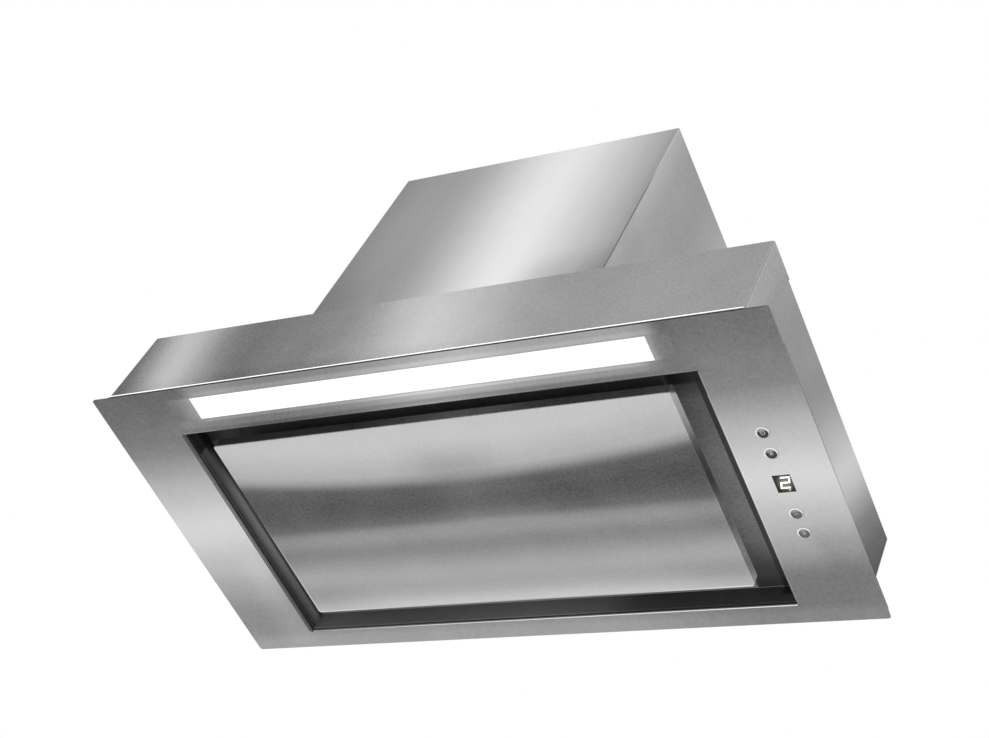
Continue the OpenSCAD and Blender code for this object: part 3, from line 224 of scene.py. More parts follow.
class Graph(Tree):
    """Builds the shader nodes of one material or world."""

    def __init__(self, owner: bpy.types.ID) -> None:
        """Empties a tree and works in it.

        Args:
            owner: the material or world whose tree it is.
        """
        owner.use_nodes = True
        super().__init__(owner.node_tree)
        self.tree.nodes.clear()

    def where(self) -> Value:
        """The shaded point in the object's own metres."""
        return self.make("ShaderNodeTexCoord", out="Object")

    def place(self) -> list[Value]:
        """The X, Y and Z of the shaded point in millimetres."""
        split = self.node("ShaderNodeSeparateXYZ", {0: self.where()})
        return [Value(self, socket) * 1000.0 for socket in split.outputs]

    def ramp(self, value: Value, stops: Stops) -> Value:
        """A grey that changes along a coordinate.

        Args:
            value: the coordinate, in millimetres.
            stops: pairs of a coordinate and a display level.

        Returns:
            The linear grey.
        """
        low, high = stops[0][0], stops[-1][0]
        share = self.math("DIVIDE", value - low, high - low, clamp=True)
        made = self.node("ShaderNodeValToRGB", {0: share})
        made.color_ramp.interpolation = "CARDINAL"
        points = made.color_ramp.elements
        while len(points) < len(stops):
            points.new(0.5)
        for point, (where, level) in zip(points, stops):
            point.position = (where - low) / (high - low)
            point.color = (*(linear(level),) * 3, 1.0)
        return Value(self, made.outputs[0])

    def noise(self, scale: float | Point, detail: float, rough: float, seed: float) -> Value:
        """A noise from 0 to 1.

        Args:
            scale: cells per metre, in all or along X, Y and Z.
            detail: how many finer layers it has.
            rough: how strong the finer layers are.
            seed: an offset, so that two noises differ.

        Returns:
            The noise.
        """
        spread = self.make("ShaderNodeMapping", {
            0: self.where(),
            "Scale": scale if isinstance(scale, tuple) else (scale,) * 3,
            "Location": (seed, seed * 0.7, seed * 0.3),
        })
        feeds = {"Scale": 1.0, "Detail": detail, "Roughness": rough, "Vector": spread}
        return self.make("ShaderNodeTexNoise", feeds, "Fac")

    def step(self, value: Value, start: float, end: float) -> Value:
        """A soft step from 0 at the start to 1 at the end.

        Args:
            value: the coordinate, in millimetres.
            start: where the step starts.
            end: where it ends, which may be lower than the start.

        Returns:
            The step's height.
        """
        feeds = {"Value": value, "From Min": start, "From Max": end}
        return self.make("ShaderNodeMapRange", feeds, "Result", interpolation_type="SMOOTHSTEP")

    def mix(self, share: Value, a: Any, b: Any) -> Value:
        """Mixes two colours.

        Args:
            share: how much of the second.
            a: the first colour.
            b: the second colour.

        Returns:
            The mixed colour.
        """
        feeds = {"Factor": share, "A": a, "B": b}
        return self.make("ShaderNodeMix", feeds, "Result", data_type="RGBA", blend_type="MIX")

    def scaled(self, colour: Any, factor: Any) -> Value:
        """A colour times a factor.

        Args:
            colour: the colour or its value.
            factor: the factor.

        Returns:
            The product.
        """
        return self.make("ShaderNodeVectorMath", {0: colour, "Scale": factor}, operation="SCALE")

    def bump(self, height: Value, strength: float) -> Value:
        """A bumped normal.

        Args:
            height: the relief, from 0 to 1.
            strength: how strongly it shows.

        Returns:
            The normal.
        """
        feeds = {"Strength": strength, "Distance": RELIEF_MM * MM, "Height": height}
        return self.make("ShaderNodeBump", feeds, "Normal")


@dataclass(frozen=True)
class Band:
    """A run of painted light and dark, a painted reflection, along one axis, which may lean along another or
    bow across X.
    """

    axis: Axis
    stops: Stops
    lean: float = 0.0
    lean_axis: Axis = Z
    lean_zero: float = 0.0
    bow: float = 0.0
    bow_start: float = 5.0
    bow_length: float = 25.0

    def grey(self, graph: Graph, place: list[Value]) -> Value:
        """The band's grey at the shaded point.

        Args:
            graph: the graph to build in.
            place: X, Y and Z in millimetres.

        Returns:
            The grey.
        """
        value = place[self.axis.value]
        if self.lean:
            value = value + (place[self.lean_axis.value] - self.lean_zero) * self.lean
        if self.bow:
            below = graph.math("DIVIDE", self.bow_start - value, self.bow_length, clamp=True)
            value = value + place[0] * place[0] * self.bow * below
        return graph.ramp(value, self.stops)


@dataclass(frozen=True)
class Region:
    """A box with soft sides in which a sheet gets painted light or painted shade, follows a painted band of
    its own, or gives out a painted glow.
    """

    soft: Point
    gain: float = 1.0
    x0: float | None = None
    x1: float | None = None
    y0: float | None = None
    y1: float | None = None
    z0: float | None = None
    z1: float | None = None
    matt: float = 0.0
    # A painted glow: light given out by a surface that is no lamp
    painted_glow: float = 0.0
    band: Band | None = None

    def mask(self, graph: Graph, place: list[Value]) -> Value:
        """How far the shaded point is inside the box, from 0 to 1.

        Args:
            graph: the graph to build in.
            place: X, Y and Z in millimetres.

        Returns:
            The share.
        """
        share: Any = 1.0
        limits = (self.x0, self.x1), (self.y0, self.y1), (self.z0, self.z1)
        for value, ends, soft in zip(place, limits, self.soft):
            for limit, sign in zip(ends, (1.0, -1.0)):
                if limit is not None:
                    width = sign * max(soft, LEAST_EDGE)
                    share = graph.step(value, limit - width, limit + width) * share
        return share

    def apply(self, graph: Graph, place: list[Value], grey: Value, mask: Value) -> Value:
        """The sheet's grey with this region on it.

        Args:
            graph: the graph to build in.
            place: X, Y and Z in millimetres.
            grey: the grey so far.
            mask: the region's own mask.

        Returns:
            The new grey.
        """
        if self.band:
            return graph.mix(mask, grey, self.band.grey(graph, place))
        return graph.scaled(grey, mask * (self.gain**GAMMA - 1.0) + 1.0)


@dataclass(frozen=True)
class Finish:
    """A finish that can be made into a material."""

    name: str

    def shader(self, graph: Graph) -> Value:
        """Builds the finish.

        Args:
            graph: the graph to build in.

        Returns:
            The shader.
        """
        raise NotImplementedError

    def material(self) -> bpy.types.Material:
        """Makes the finish.

        Returns:
            The new material.
        """
        made = bpy.data.materials.new(self.name)
        graph = Graph(made)
        graph.node("ShaderNodeOutputMaterial", {"Surface": self.shader(graph)})
        return made


@dataclass(frozen=True)
class BrushedSheet(Finish):
    """Brushed stainless steel: soft bands of painted sheen, reflections painted into its colour, fine grain
    along one axis and faint clouds.

    The painted sheen is raised by gain and lowered by lift, which takes off the light that a slanting sheet
    gets from the lamps.
    """

    band: Band
    regions: tuple[Region, ...]
    grain_axis: Axis
    grain: float
    cloud: float
    roughness: float = 0.34
    seed: float = 0.0
    metallic: float = 1.0
    gain: float = 1.0
    lift: float = 0.0

    def noise(self, graph: Graph, scale: float, along: float, detail: float, rough: float,
              seed: float) -> Value:
        """A noise that may be drawn out along the grain.

        Args:
            graph: the graph to build in.
            scale: cells per metre across the grain.
            along: cells per metre along the grain.
            detail: how many finer layers it has.
            rough: how strong the finer layers are.
            seed: an offset from the sheet's own.

        Returns:
            The noise, from 0 to 1.
        """
        cells = [scale] * 3
        cells[self.grain_axis.value] = along
        return graph.noise(tuple(cells), detail, rough, self.seed + seed)

    def shader(self, graph: Graph) -> Value:
        """The finish: the painted sheen with its regions of painted light, shade and glow, the trim for
        slanting light and the grain.

        Args:
            graph: the graph to build in.

        Returns:
            The shader.
        """
        place = graph.place()
        grey = self.band.grey(graph, place)
        metal: Any = self.metallic
        painted_glow: Any = 0.0
        # Each region paints light, shade or a glow onto the sheet
        for region in self.regions:
            mask = region.mask(graph, place)
            grey = region.apply(graph, place, grey, mask)
            if region.matt:
                metal = (1.0 - mask * region.matt) * metal
            if region.painted_glow:
                painted_glow = mask * region.painted_glow + (1.0 - mask) * painted_glow
        if self.lift:
            feeds = {0: grey, 1: (self.gain,) * 3, 2: (-self.lift,) * 3}
            trim = graph.make("ShaderNodeVectorMath", feeds, operation="MULTIPLY_ADD")
            feeds = {0: trim, 1: (DARKEST,) * 3}
            grey = graph.make("ShaderNodeVectorMath", feeds, operation="MAXIMUM")
        fine = self.noise(graph, 1100.0, 170.0, 3.0, 0.6, 2.0)
        streak = self.noise(graph, 420.0, 28.0, 2.0, 0.5, 5.0)
        cloud = self.noise(graph, 26.0, 26.0, 4.0, 0.6, 9.0)
        dust = self.noise(graph, 450.0, 450.0, 3.0, 0.65, 12.0)
        mottle = (fine - 0.5) * (self.grain * 2.4)
        for layer, share in ((streak, self.grain * 0.6), (cloud, self.cloud * 1.6), (dust, self.cloud * 3.2)):
            mottle = mottle + (layer - 0.5) * share
        mottle = mottle * graph.math("MINIMUM", GRAIN_GREY / grey, GRAIN_MOST)
        colour = graph.scaled(grey, mottle + 1.0)
        feeds = {
            "Metallic": metal,
            "Base Color": colour,
            "Roughness": streak * 0.06 + (self.roughness - 0.03),
            "Normal": graph.bump(fine, 0.12),
        }
        # The regions' painted glow, given out though the sheet is no lamp
        if isinstance(painted_glow, Value):
            feeds |= {"Emission Color": colour, "Emission Strength": painted_glow}
        return graph.make("ShaderNodeBsdfPrincipled", feeds)


@dataclass(frozen=True)
class PlainFinish(Finish):
    """A finish of one colour with its own grain: plastic, paint, zinc, aluminium or polished metal."""

    colour: Point
    roughness: float = 0.5
    metallic: float = 0.0
    grain_scale: float = 900.0
    grain: float = 0.1
    cloud_scale: float = 40.0
    cloud: float = 0.08
    relief: float = 0.25
    spangle: float = 0.0
    coat: float = 0.0

    def shader(self, graph: Graph) -> Value:
        """The finish, with flakes where it has a spangle.

        Args:
            graph: the graph to build in.

        Returns:
            The shader.
        """
        fine = graph.noise(self.grain_scale, 3.0, 0.6, 1.0)
        cloud = graph.noise(self.cloud_scale, 4.0, 0.6, 4.0)
        factor = (fine - 0.5) * self.grain + (cloud - 0.5) * (self.cloud * 2.0)
        if self.spangle:
            feeds = {"Scale": 130.0, "Vector": graph.where()}
            cells = graph.make("ShaderNodeTexVoronoi", feeds, "Color")
            factor = factor + (graph.make("ShaderNodeSeparateColor", {0: cells}) - 0.5) * self.spangle
        return graph.make("ShaderNodeBsdfPrincipled", {
            "Metallic": self.metallic,
            "Coat Weight": self.coat,
            "Base Color": graph.scaled(self.colour, factor + 1.0),
            "Roughness": graph.math("ADD", self.roughness - 0.05, cloud * 0.1, clamp=True),
            "Normal": graph.bump(fine, self.relief),
        })


@dataclass(frozen=True)
class ButtonFinish(Finish):
    """A round button's metal or plastic, with painted light to one side of each button's middle and painted
    shade to the other.
    """

    # Levels of the painted shade and the painted light, the way towards the painted light, and where and how
    # softly it starts
    dark: float
    light: float
    way: Pair
    edge: float
    soft: float
    roughness: float = 0.3
    metallic: float = 0.5
    middle_x: float = 260.0
    pitch: float = 19.0
    start_y: float = 6.4

    def shader(self, graph: Graph) -> Value:
        """The finish, whose middles repeat along Y at the buttons' pitch.

        Args:
            graph: the graph to build in.

        Returns:
            The shader.
        """
        x, y, _ = graph.place()
        turns = graph.math("FRACT", (y - self.start_y) / self.pitch)
        off_y = turns * self.pitch - self.pitch / 2
        along = (x - self.middle_x) * self.way[0] + off_y * self.way[1]
        # Painted light on one side of each button, painted shade on the other
        share = graph.step(along, self.edge - self.soft, self.edge + self.soft)
        dark, light = ((*(linear(level),) * 3, 1.0) for level in (self.dark, self.light))
        speck = graph.noise(900.0, 3.0, 0.6, 6.0)
        return graph.make("ShaderNodeBsdfPrincipled", {
            "Metallic": self.metallic,
            "Roughness": self.roughness,
            "Base Color": graph.scaled(graph.mix(share, dark, light), speck * 0.16 + 0.92),
        })


@dataclass(frozen=True)
class LitFinish(Finish):
    """A surface that glows, like an opal lens or a lit stroke, with a faint mottle."""

    colour: Point
    strength: float
    dim_y: float | None = None
    dim: float = 1.0

    def shader(self, graph: Graph) -> Value:
        """The finish, dimmer beyond one place along Y where it has one.

        Args:
            graph: the graph to build in.

        Returns:
            The shader.
        """
        colour = graph.scaled(self.colour, graph.noise(90.0, 3.0, 0.5, 3.0) * 0.06 + 0.97)
        strength: Any = self.strength
        if self.dim_y is not None:
            beyond = graph.math("GREATER_THAN", graph.place()[1], self.dim_y)
            strength = beyond * (self.strength * (self.dim - 1.0)) + self.strength
        return graph.make("ShaderNodeBsdfPrincipled", {
            "Roughness": 0.35,
            "Base Color": colour,
            "Emission Color": colour,
            "Emission Strength": strength,
        })


@dataclass(frozen=True)
class SmokedWindow(Finish):
    """The display's smoked window, clear enough to show the lit strokes behind it."""

    colour: Point
    clear: float
    middle: Pair = (260.7, 6.2)
    squeeze_x: float = 1.25
    reach: float = 8.5
    # Strength of the painted glow round the window's middle
    painted_glow: float = 0.34

    def shader(self, graph: Graph) -> Value:
        """The finish, with a painted glow round the window's middle that stands in for the strokes' light.

        Args:
            graph: the graph to build in.

        Returns:
            The shader.
        """
        speck = graph.noise(700.0, 3.0, 0.6, 2.0)
        x, y, _ = graph.place()
        off_x, off_y = (x - self.middle[0]) * self.squeeze_x, y - self.middle[1]
        away = graph.math("SQRT", off_x * off_x + off_y * off_y)
        near = graph.math("SUBTRACT", 1.0, away / self.reach, clamp=True)
        return graph.make("ShaderNodeBsdfPrincipled", {
            "Roughness": 0.22,
            "Specular IOR Level": 0.25,
            "Alpha": 1.0 - self.clear,
            "Base Color": graph.scaled(self.colour, speck * 0.8 + 0.6),
            "Emission Color": (1.0, 0.98, 0.8, 1.0),
            "Emission Strength": near * self.painted_glow,
        })


def work_piece(name: str, mesh: bmesh.types.BMesh, body: str, material: Any) -> bpy.types.Object:
    """Turns a working mesh into a finished piece that rides on a body.

    Args:
        name: the piece's name.
        mesh: the working mesh, in metres.
        body: the body that it rides on.
        material: the piece's material.

    Returns:
        The new piece.
    """
    bmesh.ops.recalc_face_normals(mesh, faces=mesh.faces)
    data = bpy.data.meshes.new(name)
    mesh.to_mesh(data)
    mesh.free()
    data.materials.append(material)
    return mount(name, data, body)


def join_rings(mesh: bmesh.types.BMesh, rings: list[list[bmesh.types.BMVert]]) -> None:
    """Closes a tube through rings of corners, with a face at both ends.

    Args:
        mesh: the working mesh.
        rings: the rings in order, all with the same number of corners.
    """
    mesh.faces.new(rings[0])
    mesh.faces.new(rings[-1])
    for a, b in zip(rings, rings[1:]):
        for i in range(len(a)):
            j = (i + 1) % len(a)
            mesh.faces.new((a[i], a[j], b[j], b[i]))


def add_prism(mesh: bmesh.types.BMesh, outline: list[Pair], z0: float, z1: float) -> None:
    """Adds an upright prism.

    Args:
        mesh: the working mesh.
        outline: its corners in X and Y, in millimetres.
        z0: the height of its foot, in millimetres.
        z1: the height of its top, in millimetres.
    """
    join_rings(mesh, [[mesh.verts.new((x * MM, y * MM, z * MM)) for x, y in outline] for z in (z0, z1)])


def add_bead(mesh: bmesh.types.BMesh, start: Vector, end: Vector, r: float, sides: int = 12) -> None:
    """Adds a round bead with domed ends along X or Y.

    Args:
        mesh: the working mesh.
        start: its first end, in millimetres.
        end: its other end, in millimetres.
        r: its radius, in millimetres.
        sides: how many sides it has.
    """
    along = (end - start).normalized()
    up = Vector((0.0, 0.0, 1.0))
    side = along.cross(up).normalized()
    dome = ((0.0, 0.35), (0.6, 0.85), (1.0, 1.0))
    spots = [(start + along * r * way, size) for way, size in dome]
    spots += [(end - along * r * way, size) for way, size in reversed(dome)]
    turn = [2 * math.pi * i / sides for i in range(sides)]
    join_rings(mesh, [[mesh.verts.new((where + (side * math.cos(a) + up * math.sin(a)) * r * size) * MM)
                       for a in turn] for where, size in spots])


class GeometryTree(Tree):
    """A Geometry Nodes tree with named inputs, made into a plain mesh."""

    def __init__(self, name: str, sizes: dict[str, float]) -> None:
        """Makes the tree's interface from the named sizes.

        Args:
            name: the name of the tree and of its piece.
            sizes: a value for each named input.
        """
        super().__init__(bpy.data.node_groups.new(name, "GeometryNodeTree"))
        self.name = name
        face = self.tree.interface
        face.new_socket("Geometry", in_out="OUTPUT", socket_type="NodeSocketGeometry")
        self.sizes = {face.new_socket(title, in_out="INPUT", socket_type="NodeSocketFloat").identifier: value
                      for title, value in sizes.items()}
        self.entry = self.tree.nodes.new("NodeGroupInput")

    def size(self, title: str) -> Value:
        """A named size."""
        return Value(self, self.entry.outputs[title])

    def bake(self, geometry: Value, material: bpy.types.Material, body: str, slot: str) -> bpy.types.Object:
        """Ends the tree and turns its result into a plain piece.

        Args:
            geometry: the tree's geometry.
            material: the piece's material.
            body: the body that it rides on.
            slot: the record's material slot; not used.

        Returns:
            The new piece.
        """
        real = self.make("GeometryNodeRealizeInstances", {0: geometry})
        paint = self.make("GeometryNodeSetMaterial", {"Geometry": real, "Material": material})
        self.node("NodeGroupOutput", {0: paint})
        holder = link(self.name + "_holder", bpy.data.meshes.new(self.name + "_holder"))
        modifier = holder.modifiers.new(self.name, "NODES")
        modifier.node_group = self.tree
        for key, value in self.sizes.items():
            modifier[key] = float(value)
        graph = bpy.context.evaluated_depsgraph_get()
        graph.update()
        data = bpy.data.meshes.new_from_object(holder.evaluated_get(graph))
        data.name = self.name
        holder.modifiers.clear()
        bpy.data.objects.remove(holder)
        return mount(self.name, data, body)


@dataclass
class Studio:
    """The camera, the white world, the floor and the two soft lamps."""

    camera_mm: Point = (747.4, -734.5, -903.9)
    right: Point = (0.8798, 0.3640, 0.3058)
    forward: Point = (-0.4684, 0.5542, 0.6881)
    focal_px: float = 1768.3
    centre_px: Pair = (618.2, 488.75)
    frame_px: tuple[int, int] = (989, 738)
    sensor_mm: float = 36.0
    clip_m: Pair = (0.01, 60.0)
    floor_mm: float = -1700.0
    floor_half_mm: float = 9000.0
    floor_thick_mm: float = 20.0
    aim: Point = (0.0, 0.0, 0.15)

    def camera(self) -> None:
        """Sets the camera where the straight edges of the photograph put it."""
        data = bpy.data.cameras.new("camera")
        wide, high = self.frame_px
        data.sensor_width = self.sensor_mm
        data.lens = self.focal_px / wide * self.sensor_mm
        data.shift_x = (wide / 2 - self.centre_px[0]) / wide
        data.shift_y = (self.centre_px[1] - high / 2) / wide
        data.clip_start, data.clip_end = self.clip_m
        made = link("camera", data)
        x, z = Vector(self.right).normalized(), -Vector(self.forward).normalized()
        y = z.cross(x).normalized()
        x = y.cross(z).normalized()
        turn = Matrix((x, y, z)).transposed().to_4x4()
        made.matrix_world = Matrix.Translation(Vector(self.camera_mm) * MM) @ turn
        bpy.context.scene.camera = made

    def world(self) -> None:
        """Makes a world that is white to the eye and to metal, and a little softer as a light."""
        made = bpy.data.worlds.new("studio")
        graph = Graph(made)
        path = graph.node("ShaderNodeLightPath")
        camera, glossy, through = (Value(graph, path.outputs[f"Is {ray} Ray"])
                                   for ray in ("Camera", "Glossy", "Transmission"))
        seen = graph.math("ADD", graph.math("ADD", camera, glossy, clamp=True), through, clamp=True)
        light, white = (
            graph.make("ShaderNodeBackground", {"Color": (level, level, level, 1.0), "Strength": strength})
            for level, strength in ((0.975, 0.75), (1.0, 1.0)))
        blend = graph.make("ShaderNodeMixShader", {0: seen, 1: light, 2: white})
        graph.node("ShaderNodeOutputWorld", {"Surface": blend})
        bpy.context.scene.world = made

    def floor(self) -> None:
        """Makes the pale floor, which metal sees as white."""
        mesh = bmesh.new()
        half = self.floor_half_mm
        corners = [(-half, -half), (half, -half), (half, half), (-half, half)]
        add_prism(mesh, corners, self.floor_mm - self.floor_thick_mm, self.floor_mm)
        data = bpy.data.meshes.new("floor")
        mesh.to_mesh(data)
        mesh.free()
        made = bpy.data.materials.new("pale_floor")
        graph = Graph(made)
        shade = graph.scaled((0.93,) * 3, graph.noise(6.0, 3.0, 0.5, 1.0) * 0.02 + 0.99)
        blend = graph.make("ShaderNodeMixShader", {
            0: graph.make("ShaderNodeLightPath", out="Is Glossy Ray") * 0.9,
            1: graph.make("ShaderNodeBsdfDiffuse", {"Color": shade}),
            2: graph.make("ShaderNodeEmission", {"Strength": 1.0}),
        })
        graph.node("ShaderNodeOutputMaterial", {"Surface": blend})
        data.materials.append(made)
        link("floor", data)

    def lamps(self) -> None:
        """Hangs two large soft lamps, one from the front left and one from the right and above."""
        for name, where, size, watts in (
            ("key_lamp", Vector((-1.6, -2.2, 1.1)), 1.8, 10.0),
            ("fill_lamp", Vector((2.1, 0.6, 1.6)), 1.6, 7.0),
        ):
            data = bpy.data.lights.new(name, "AREA")
            data.shape = "DISK"
            data.size = size
            data.energy = watts
            made = link(name, data)
            made.location = where
            made.rotation_euler = (Vector(self.aim) - where).to_track_quat("-Z", "Y").to_euler()

    def build(self) -> None:
        """Builds the whole studio."""
        bpy.context.scene.view_settings.view_transform = "Standard"
        self.camera()
        self.world()
        self.floor()
        self.lamps()


def plate_sheet() -> BrushedSheet:
    """The plate, with painted reflections along its flanges, the light's halo painted round it and painted
    highlights and shade on the folds at the openings.

    Returns:
        The plate's finish.
    """
    # Painted reflection along the flanges, across Y
    flange = Band(Y, ((-145, 107), (-112, 119), (-92, 131), (-78, 148), (-56, 178), (-28, 204), (0, 219),
        (28, 203), (56, 182), (84, 158), (100, 147), (126, 148), (134, 161), (145, 165)))
    return BrushedSheet("brushed_plate", flange, (
        # Painted reflection: slow changes of the painted sheen along the flanges
        Region((80, 16, 1), 0.85, x0=130, y0=84),
        Region((8, 14, 1), 0.93, x0=266, y0=52, y1=88),
        Region((10, 12, 1), 1.08, x0=222, y1=-92),
        Region((14, 20, 1), 1.07, x0=-260, x1=-232.7, y0=40, y1=140),
        # Painted light in front of the light: its painted halo, a lighter painted strip and a darker painted
        # strip
        Region((8, 1.6, 1), x0=-207, x1=212, y1=-134.6, band=Band(X, ((-210, 134), (-190, 154), (-150, 148),
            (-100, 145), (-50, 156), (0, 178), (50, 188), (100, 172), (150, 166), (190, 166), (212, 150)))),
        Region((8, 1.6, 1), 1.09, x0=-207, x1=212, y0=-139.4, y1=-134.6),
        Region((40, 1.4, 1), 0.94, x0=-160, x1=30, y1=-139.4),
        # The light's halo painted behind the light, with a lighter painted strip
        Region((8, 2.2, 1), x0=-226, x1=232, y0=-113.6, y1=-105, band=Band(X, ((-226, 139), (-150, 125),
            (-100, 132), (-50, 150), (0, 182), (50, 178), (100, 164), (150, 156), (192, 150), (210, 126),
            (232, 124)))),
        Region((12, 1, 1), 1.2, x0=-204, x1=198, y0=-113.6, y1=-110.4),
        # Painted reflection along the opening's front edge
        Region((8, 1.5, 1), x0=-236, x1=236, y0=-104, y1=-99, band=Band(X, ((-236, 126), (-190, 116),
            (-150, 98), (-100, 103), (-50, 124), (0, 158), (50, 148), (100, 128), (150, 122), (236, 124)))),
        # The opening's rear edge in painted shade, with a painted highlight and a painted glow on its fold
        Region((EDGE, EDGE, EDGE), 0.8, x0=-232.7, x1=232.7, y0=125.2, y1=127.7, z0=4.46),
        Region((EDGE, 0.2, EDGE), x0=-230.5, x1=230.7, y0=126.2, y1=126.8, z0=4.5, painted_glow=0.06, band=Band(X,
            ((-231, 160), (-200, 185), (-120, 212), (0, 232), (231, 245)))),
        # The light's halo painted past its two ends
        Region((0.3, 1.5, 1), x0=203.9, x1=222, y0=-135, y1=-113.4, band=Band(X, ((204, 166), (208, 146),
            (212, 132), (216, 126), (222, 122)))),
        Region((2, 1.5, 1), x0=-228, x1=-203.9, y0=-135, y1=-113.4, band=Band(X, ((-228, 118), (-222, 125),
            (-214, 139), (-208, 152), (-204, 166)))),
        # The walls of the light's slot, painted as light with a painted glow
        Region((0.3, 0.3, 1), x0=-203.9, x1=203.9, y0=-134.5, y1=-113.6, painted_glow=0.4, band=Band(X,
            ((-204, 226), (204, 226)))),
        # The opening's front and right edges, given painted light by a painted glow
        Region((1, 0.4, 1), 0.95, x0=-231, x1=231, y0=-101.3, y1=-99, painted_glow=0.45),
        Region((0.1, 1, 0.2), 1.03, x0=230.2, x1=232, y0=-99, y1=126, z1=5.6, painted_glow=0.5),
        # The opening's left edge, in three steps of painted shade and painted highlight
        Region((EDGE, 1, EDGE), x0=-233.8, x1=-232.1, y0=-100, y1=126, z1=4.55, band=Band(Y, ((-98, 84),
            (-50, 100), (0, 100), (40, 94), (80, 80), (126, 76)))),
        Region((EDGE, EDGE, EDGE), x0=-232.7, x1=-230.2, y0=-101, y1=127, z0=4.5, band=Band(Y, ((-98, 74),
            (-50, 92), (0, 96), (40, 88), (80, 78), (126, 70)))),
        Region((EDGE, EDGE, 0.1), x0=-232.7, x1=-230.2, y0=-101, y1=127, z0=4.95, band=Band(Y, ((-98, 92),
            (-50, 112), (0, 112), (40, 100), (80, 88), (126, 76)))),
        # Painted shade on the plate's own front and right edges
        Region((1, EDGE, EDGE), y1=-144.95, z1=5.39, band=Band(X, ((-300, 40), (300, 60)))),
        Region((EDGE, 1, 1), 0.88, x0=299.95),
    ), Y, 0.045, 0.13, seed=3.0)


def panel_sheet() -> BrushedSheet:
    """The panel, with painted reflections on its face, painted highlights and shade on its rolled edges, and
    painted shade, light and glow on the walls of the gap round it.

    Returns:
        The panel's finish.
    """
    # Painted reflection across the panel's face
    face = Band(Y, ((-88, 203), (-68, 203), (-56, 196), (-46, 188), (-38, 178), (-31, 144), (-26, 106),
        (-16, 94), (-5, 93), (3, 104), (9, 119), (14, 144), (22, 154), (34, 141), (44, 149), (54, 164),
        (64, 173), (78, 171), (88, 185), (100, 208)), bow=0.00034)
    return BrushedSheet("brushed_panel", face, (
        # Painted shade towards both ends
        Region((60, 14, 1), 0.91, x0=150, y0=72),
        Region((60, 14, 1), 0.91, x1=-150, y0=72),
        Region((50, 12, 1), 0.985, x0=160, y1=-55),
        Region((50, 12, 1), 0.985, x1=-160, y1=-55),
        Region((30, 14, 1), 0.95, x0=170, y0=-20, y1=42),
        Region((30, 14, 1), 0.95, x1=-170, y0=-20, y1=42),
        # A painted dark patch and a painted light patch in the middle of the sheen
        Region((52, 18, 1), 0.8, x0=-16, x1=16, y0=-58, y1=-30),
        Region((50, 8, 1), 1.19, x0=-14, x1=36, y0=-30, y1=14),
        # Painted highlights on the rolls at the rear, on the right and on the left, with a painted glow on
        # the right
        Region((1, 0.3, 1), y0=98.8, band=Band(X, ((-206, 225), (-130, 206), (-60, 190), (60, 192),
            (130, 212), (206, 240)))),
        Region((0.1, 1, 0.02), 0.95, x0=203.6, z0=0.02, z1=1.5, matt=1.0, painted_glow=WALL_PAINTED_GLOW),
        Region((0.2, 30, 1), x1=-204.6, y0=10, band=Band(Y, ((0, 170), (100, 225)))),
        # Painted shade on the front wall and a painted highlight on the roll below it, both with a painted
        # glow
        Region((0.1, 0.06, 0.03), x1=204.9, y1=-86, z0=0.05, matt=1.0, painted_glow=WALL_PAINTED_GLOW, band=Band(X,
            ((-206, 33), (-150, 35), (-100, 38), (-50, 42), (0, 62), (50, 68), (100, 47), (150, 44),
            (206, 50)))),
        Region((0.1, 0.06, 0.4), x1=204.9, y1=-86, z0=0.05, z1=0.9, matt=1.0, painted_glow=WALL_PAINTED_GLOW, band=Band(X,
            ((-206, 118), (-110, 130), (60, 140), (206, 140)))),
        # A painted shadow line at the rear fold
        Region((2, 0.2, 0.2), 0.4, x1=201, y0=99.4, z0=0.25, z1=2.3),
        # Painted reflection and a painted glow on the right wall and its upper edge
        Region((0.1, 1, 0.1), x0=204.9, z0=1.5, matt=1.0, painted_glow=WALL_PAINTED_GLOW, band=Band(Y, ((-97, 72),
            (-89, 76), (-87.4, 150), (-80, 147), (-65, 131), (-50, 99), (-37, 66), (-22, 54), (-7, 46),
            (5, 63), (15, 84), (25, 85), (40, 86), (60, 110), (80, 101), (95, 126), (100, 130)), -0.805)),
        Region((0.1, 30, 0.2), x0=205.2, y0=30, z0=9.3, matt=1.0, painted_glow=WALL_PAINTED_GLOW, band=Band(Y, ((-85, 100),
            (30, 108), (60, 120), (100, 132)))),
    ), Y, 0.05, 0.14, 0.3, seed=11.0)


def body_sheets() -> list[BrushedSheet]:
    """The shallow body, with painted reflections on its front and sides and on the returns of its front over
    its sides.

    Returns:
        The finishes of the front and of the two sides.
    """
    # Painted reflections along the sides, on the returns and along the front
    side = Band(Y, ((-145, 160), (-120, 152), (-90, 145), (-55, 145), (-25, 145), (0, 166), (28, 190),
        (48, 198), (68, 178), (88, 140), (110, 112), (138, 92)), -0.4, Z, 60.0)
    fold = Band(Y, ((-145, 158), (-132, 157), (-112, 150)))
    front = Band(X, ((-283, 112), (-272, 130), (-256, 162), (-242, 182), (-230, 185), (-216, 172),
        (-200, 152), (-180, 128), (-155, 119), (-120, 129), (-90, 135), (-60, 150), (-30, 174), (0, 196),
        (22, 200), (50, 190), (85, 174), (120, 163), (160, 163), (200, 168), (283, 167)), 0.2, Z, 45.0)
    body = BrushedSheet("brushed_body_front", front, (
        # Painted shade at the foot of the front on the left, then painted sheen on its returns over the
        # sides, with a painted highlight at the right corner
        Region((60, 1, 12), 0.94, x1=60, z1=16),
        Region((0.3, 1, 1), x0=281.6, band=fold),
        Region((0.4, 0.4, 1), 1.1, x0=281, y1=-143.8),
        Region((0.3, 1, 1), x1=-281.6, band=fold),
    ), X, 0.06, 0.17, seed=21.0, gain=0.97, lift=0.08)
    sides = BrushedSheet("brushed_body_sides", side, (
        # Painted shade at the rear edges and on the right side's outer edge
        Region((1, 1, 1), 0.7, y0=134.5),
        Region((0.5, 1, 1), 0.8, x0=283),
    ), Y, 0.06, 0.12, seed=31.0, gain=1.04, lift=0.095)
    return [body, sides]


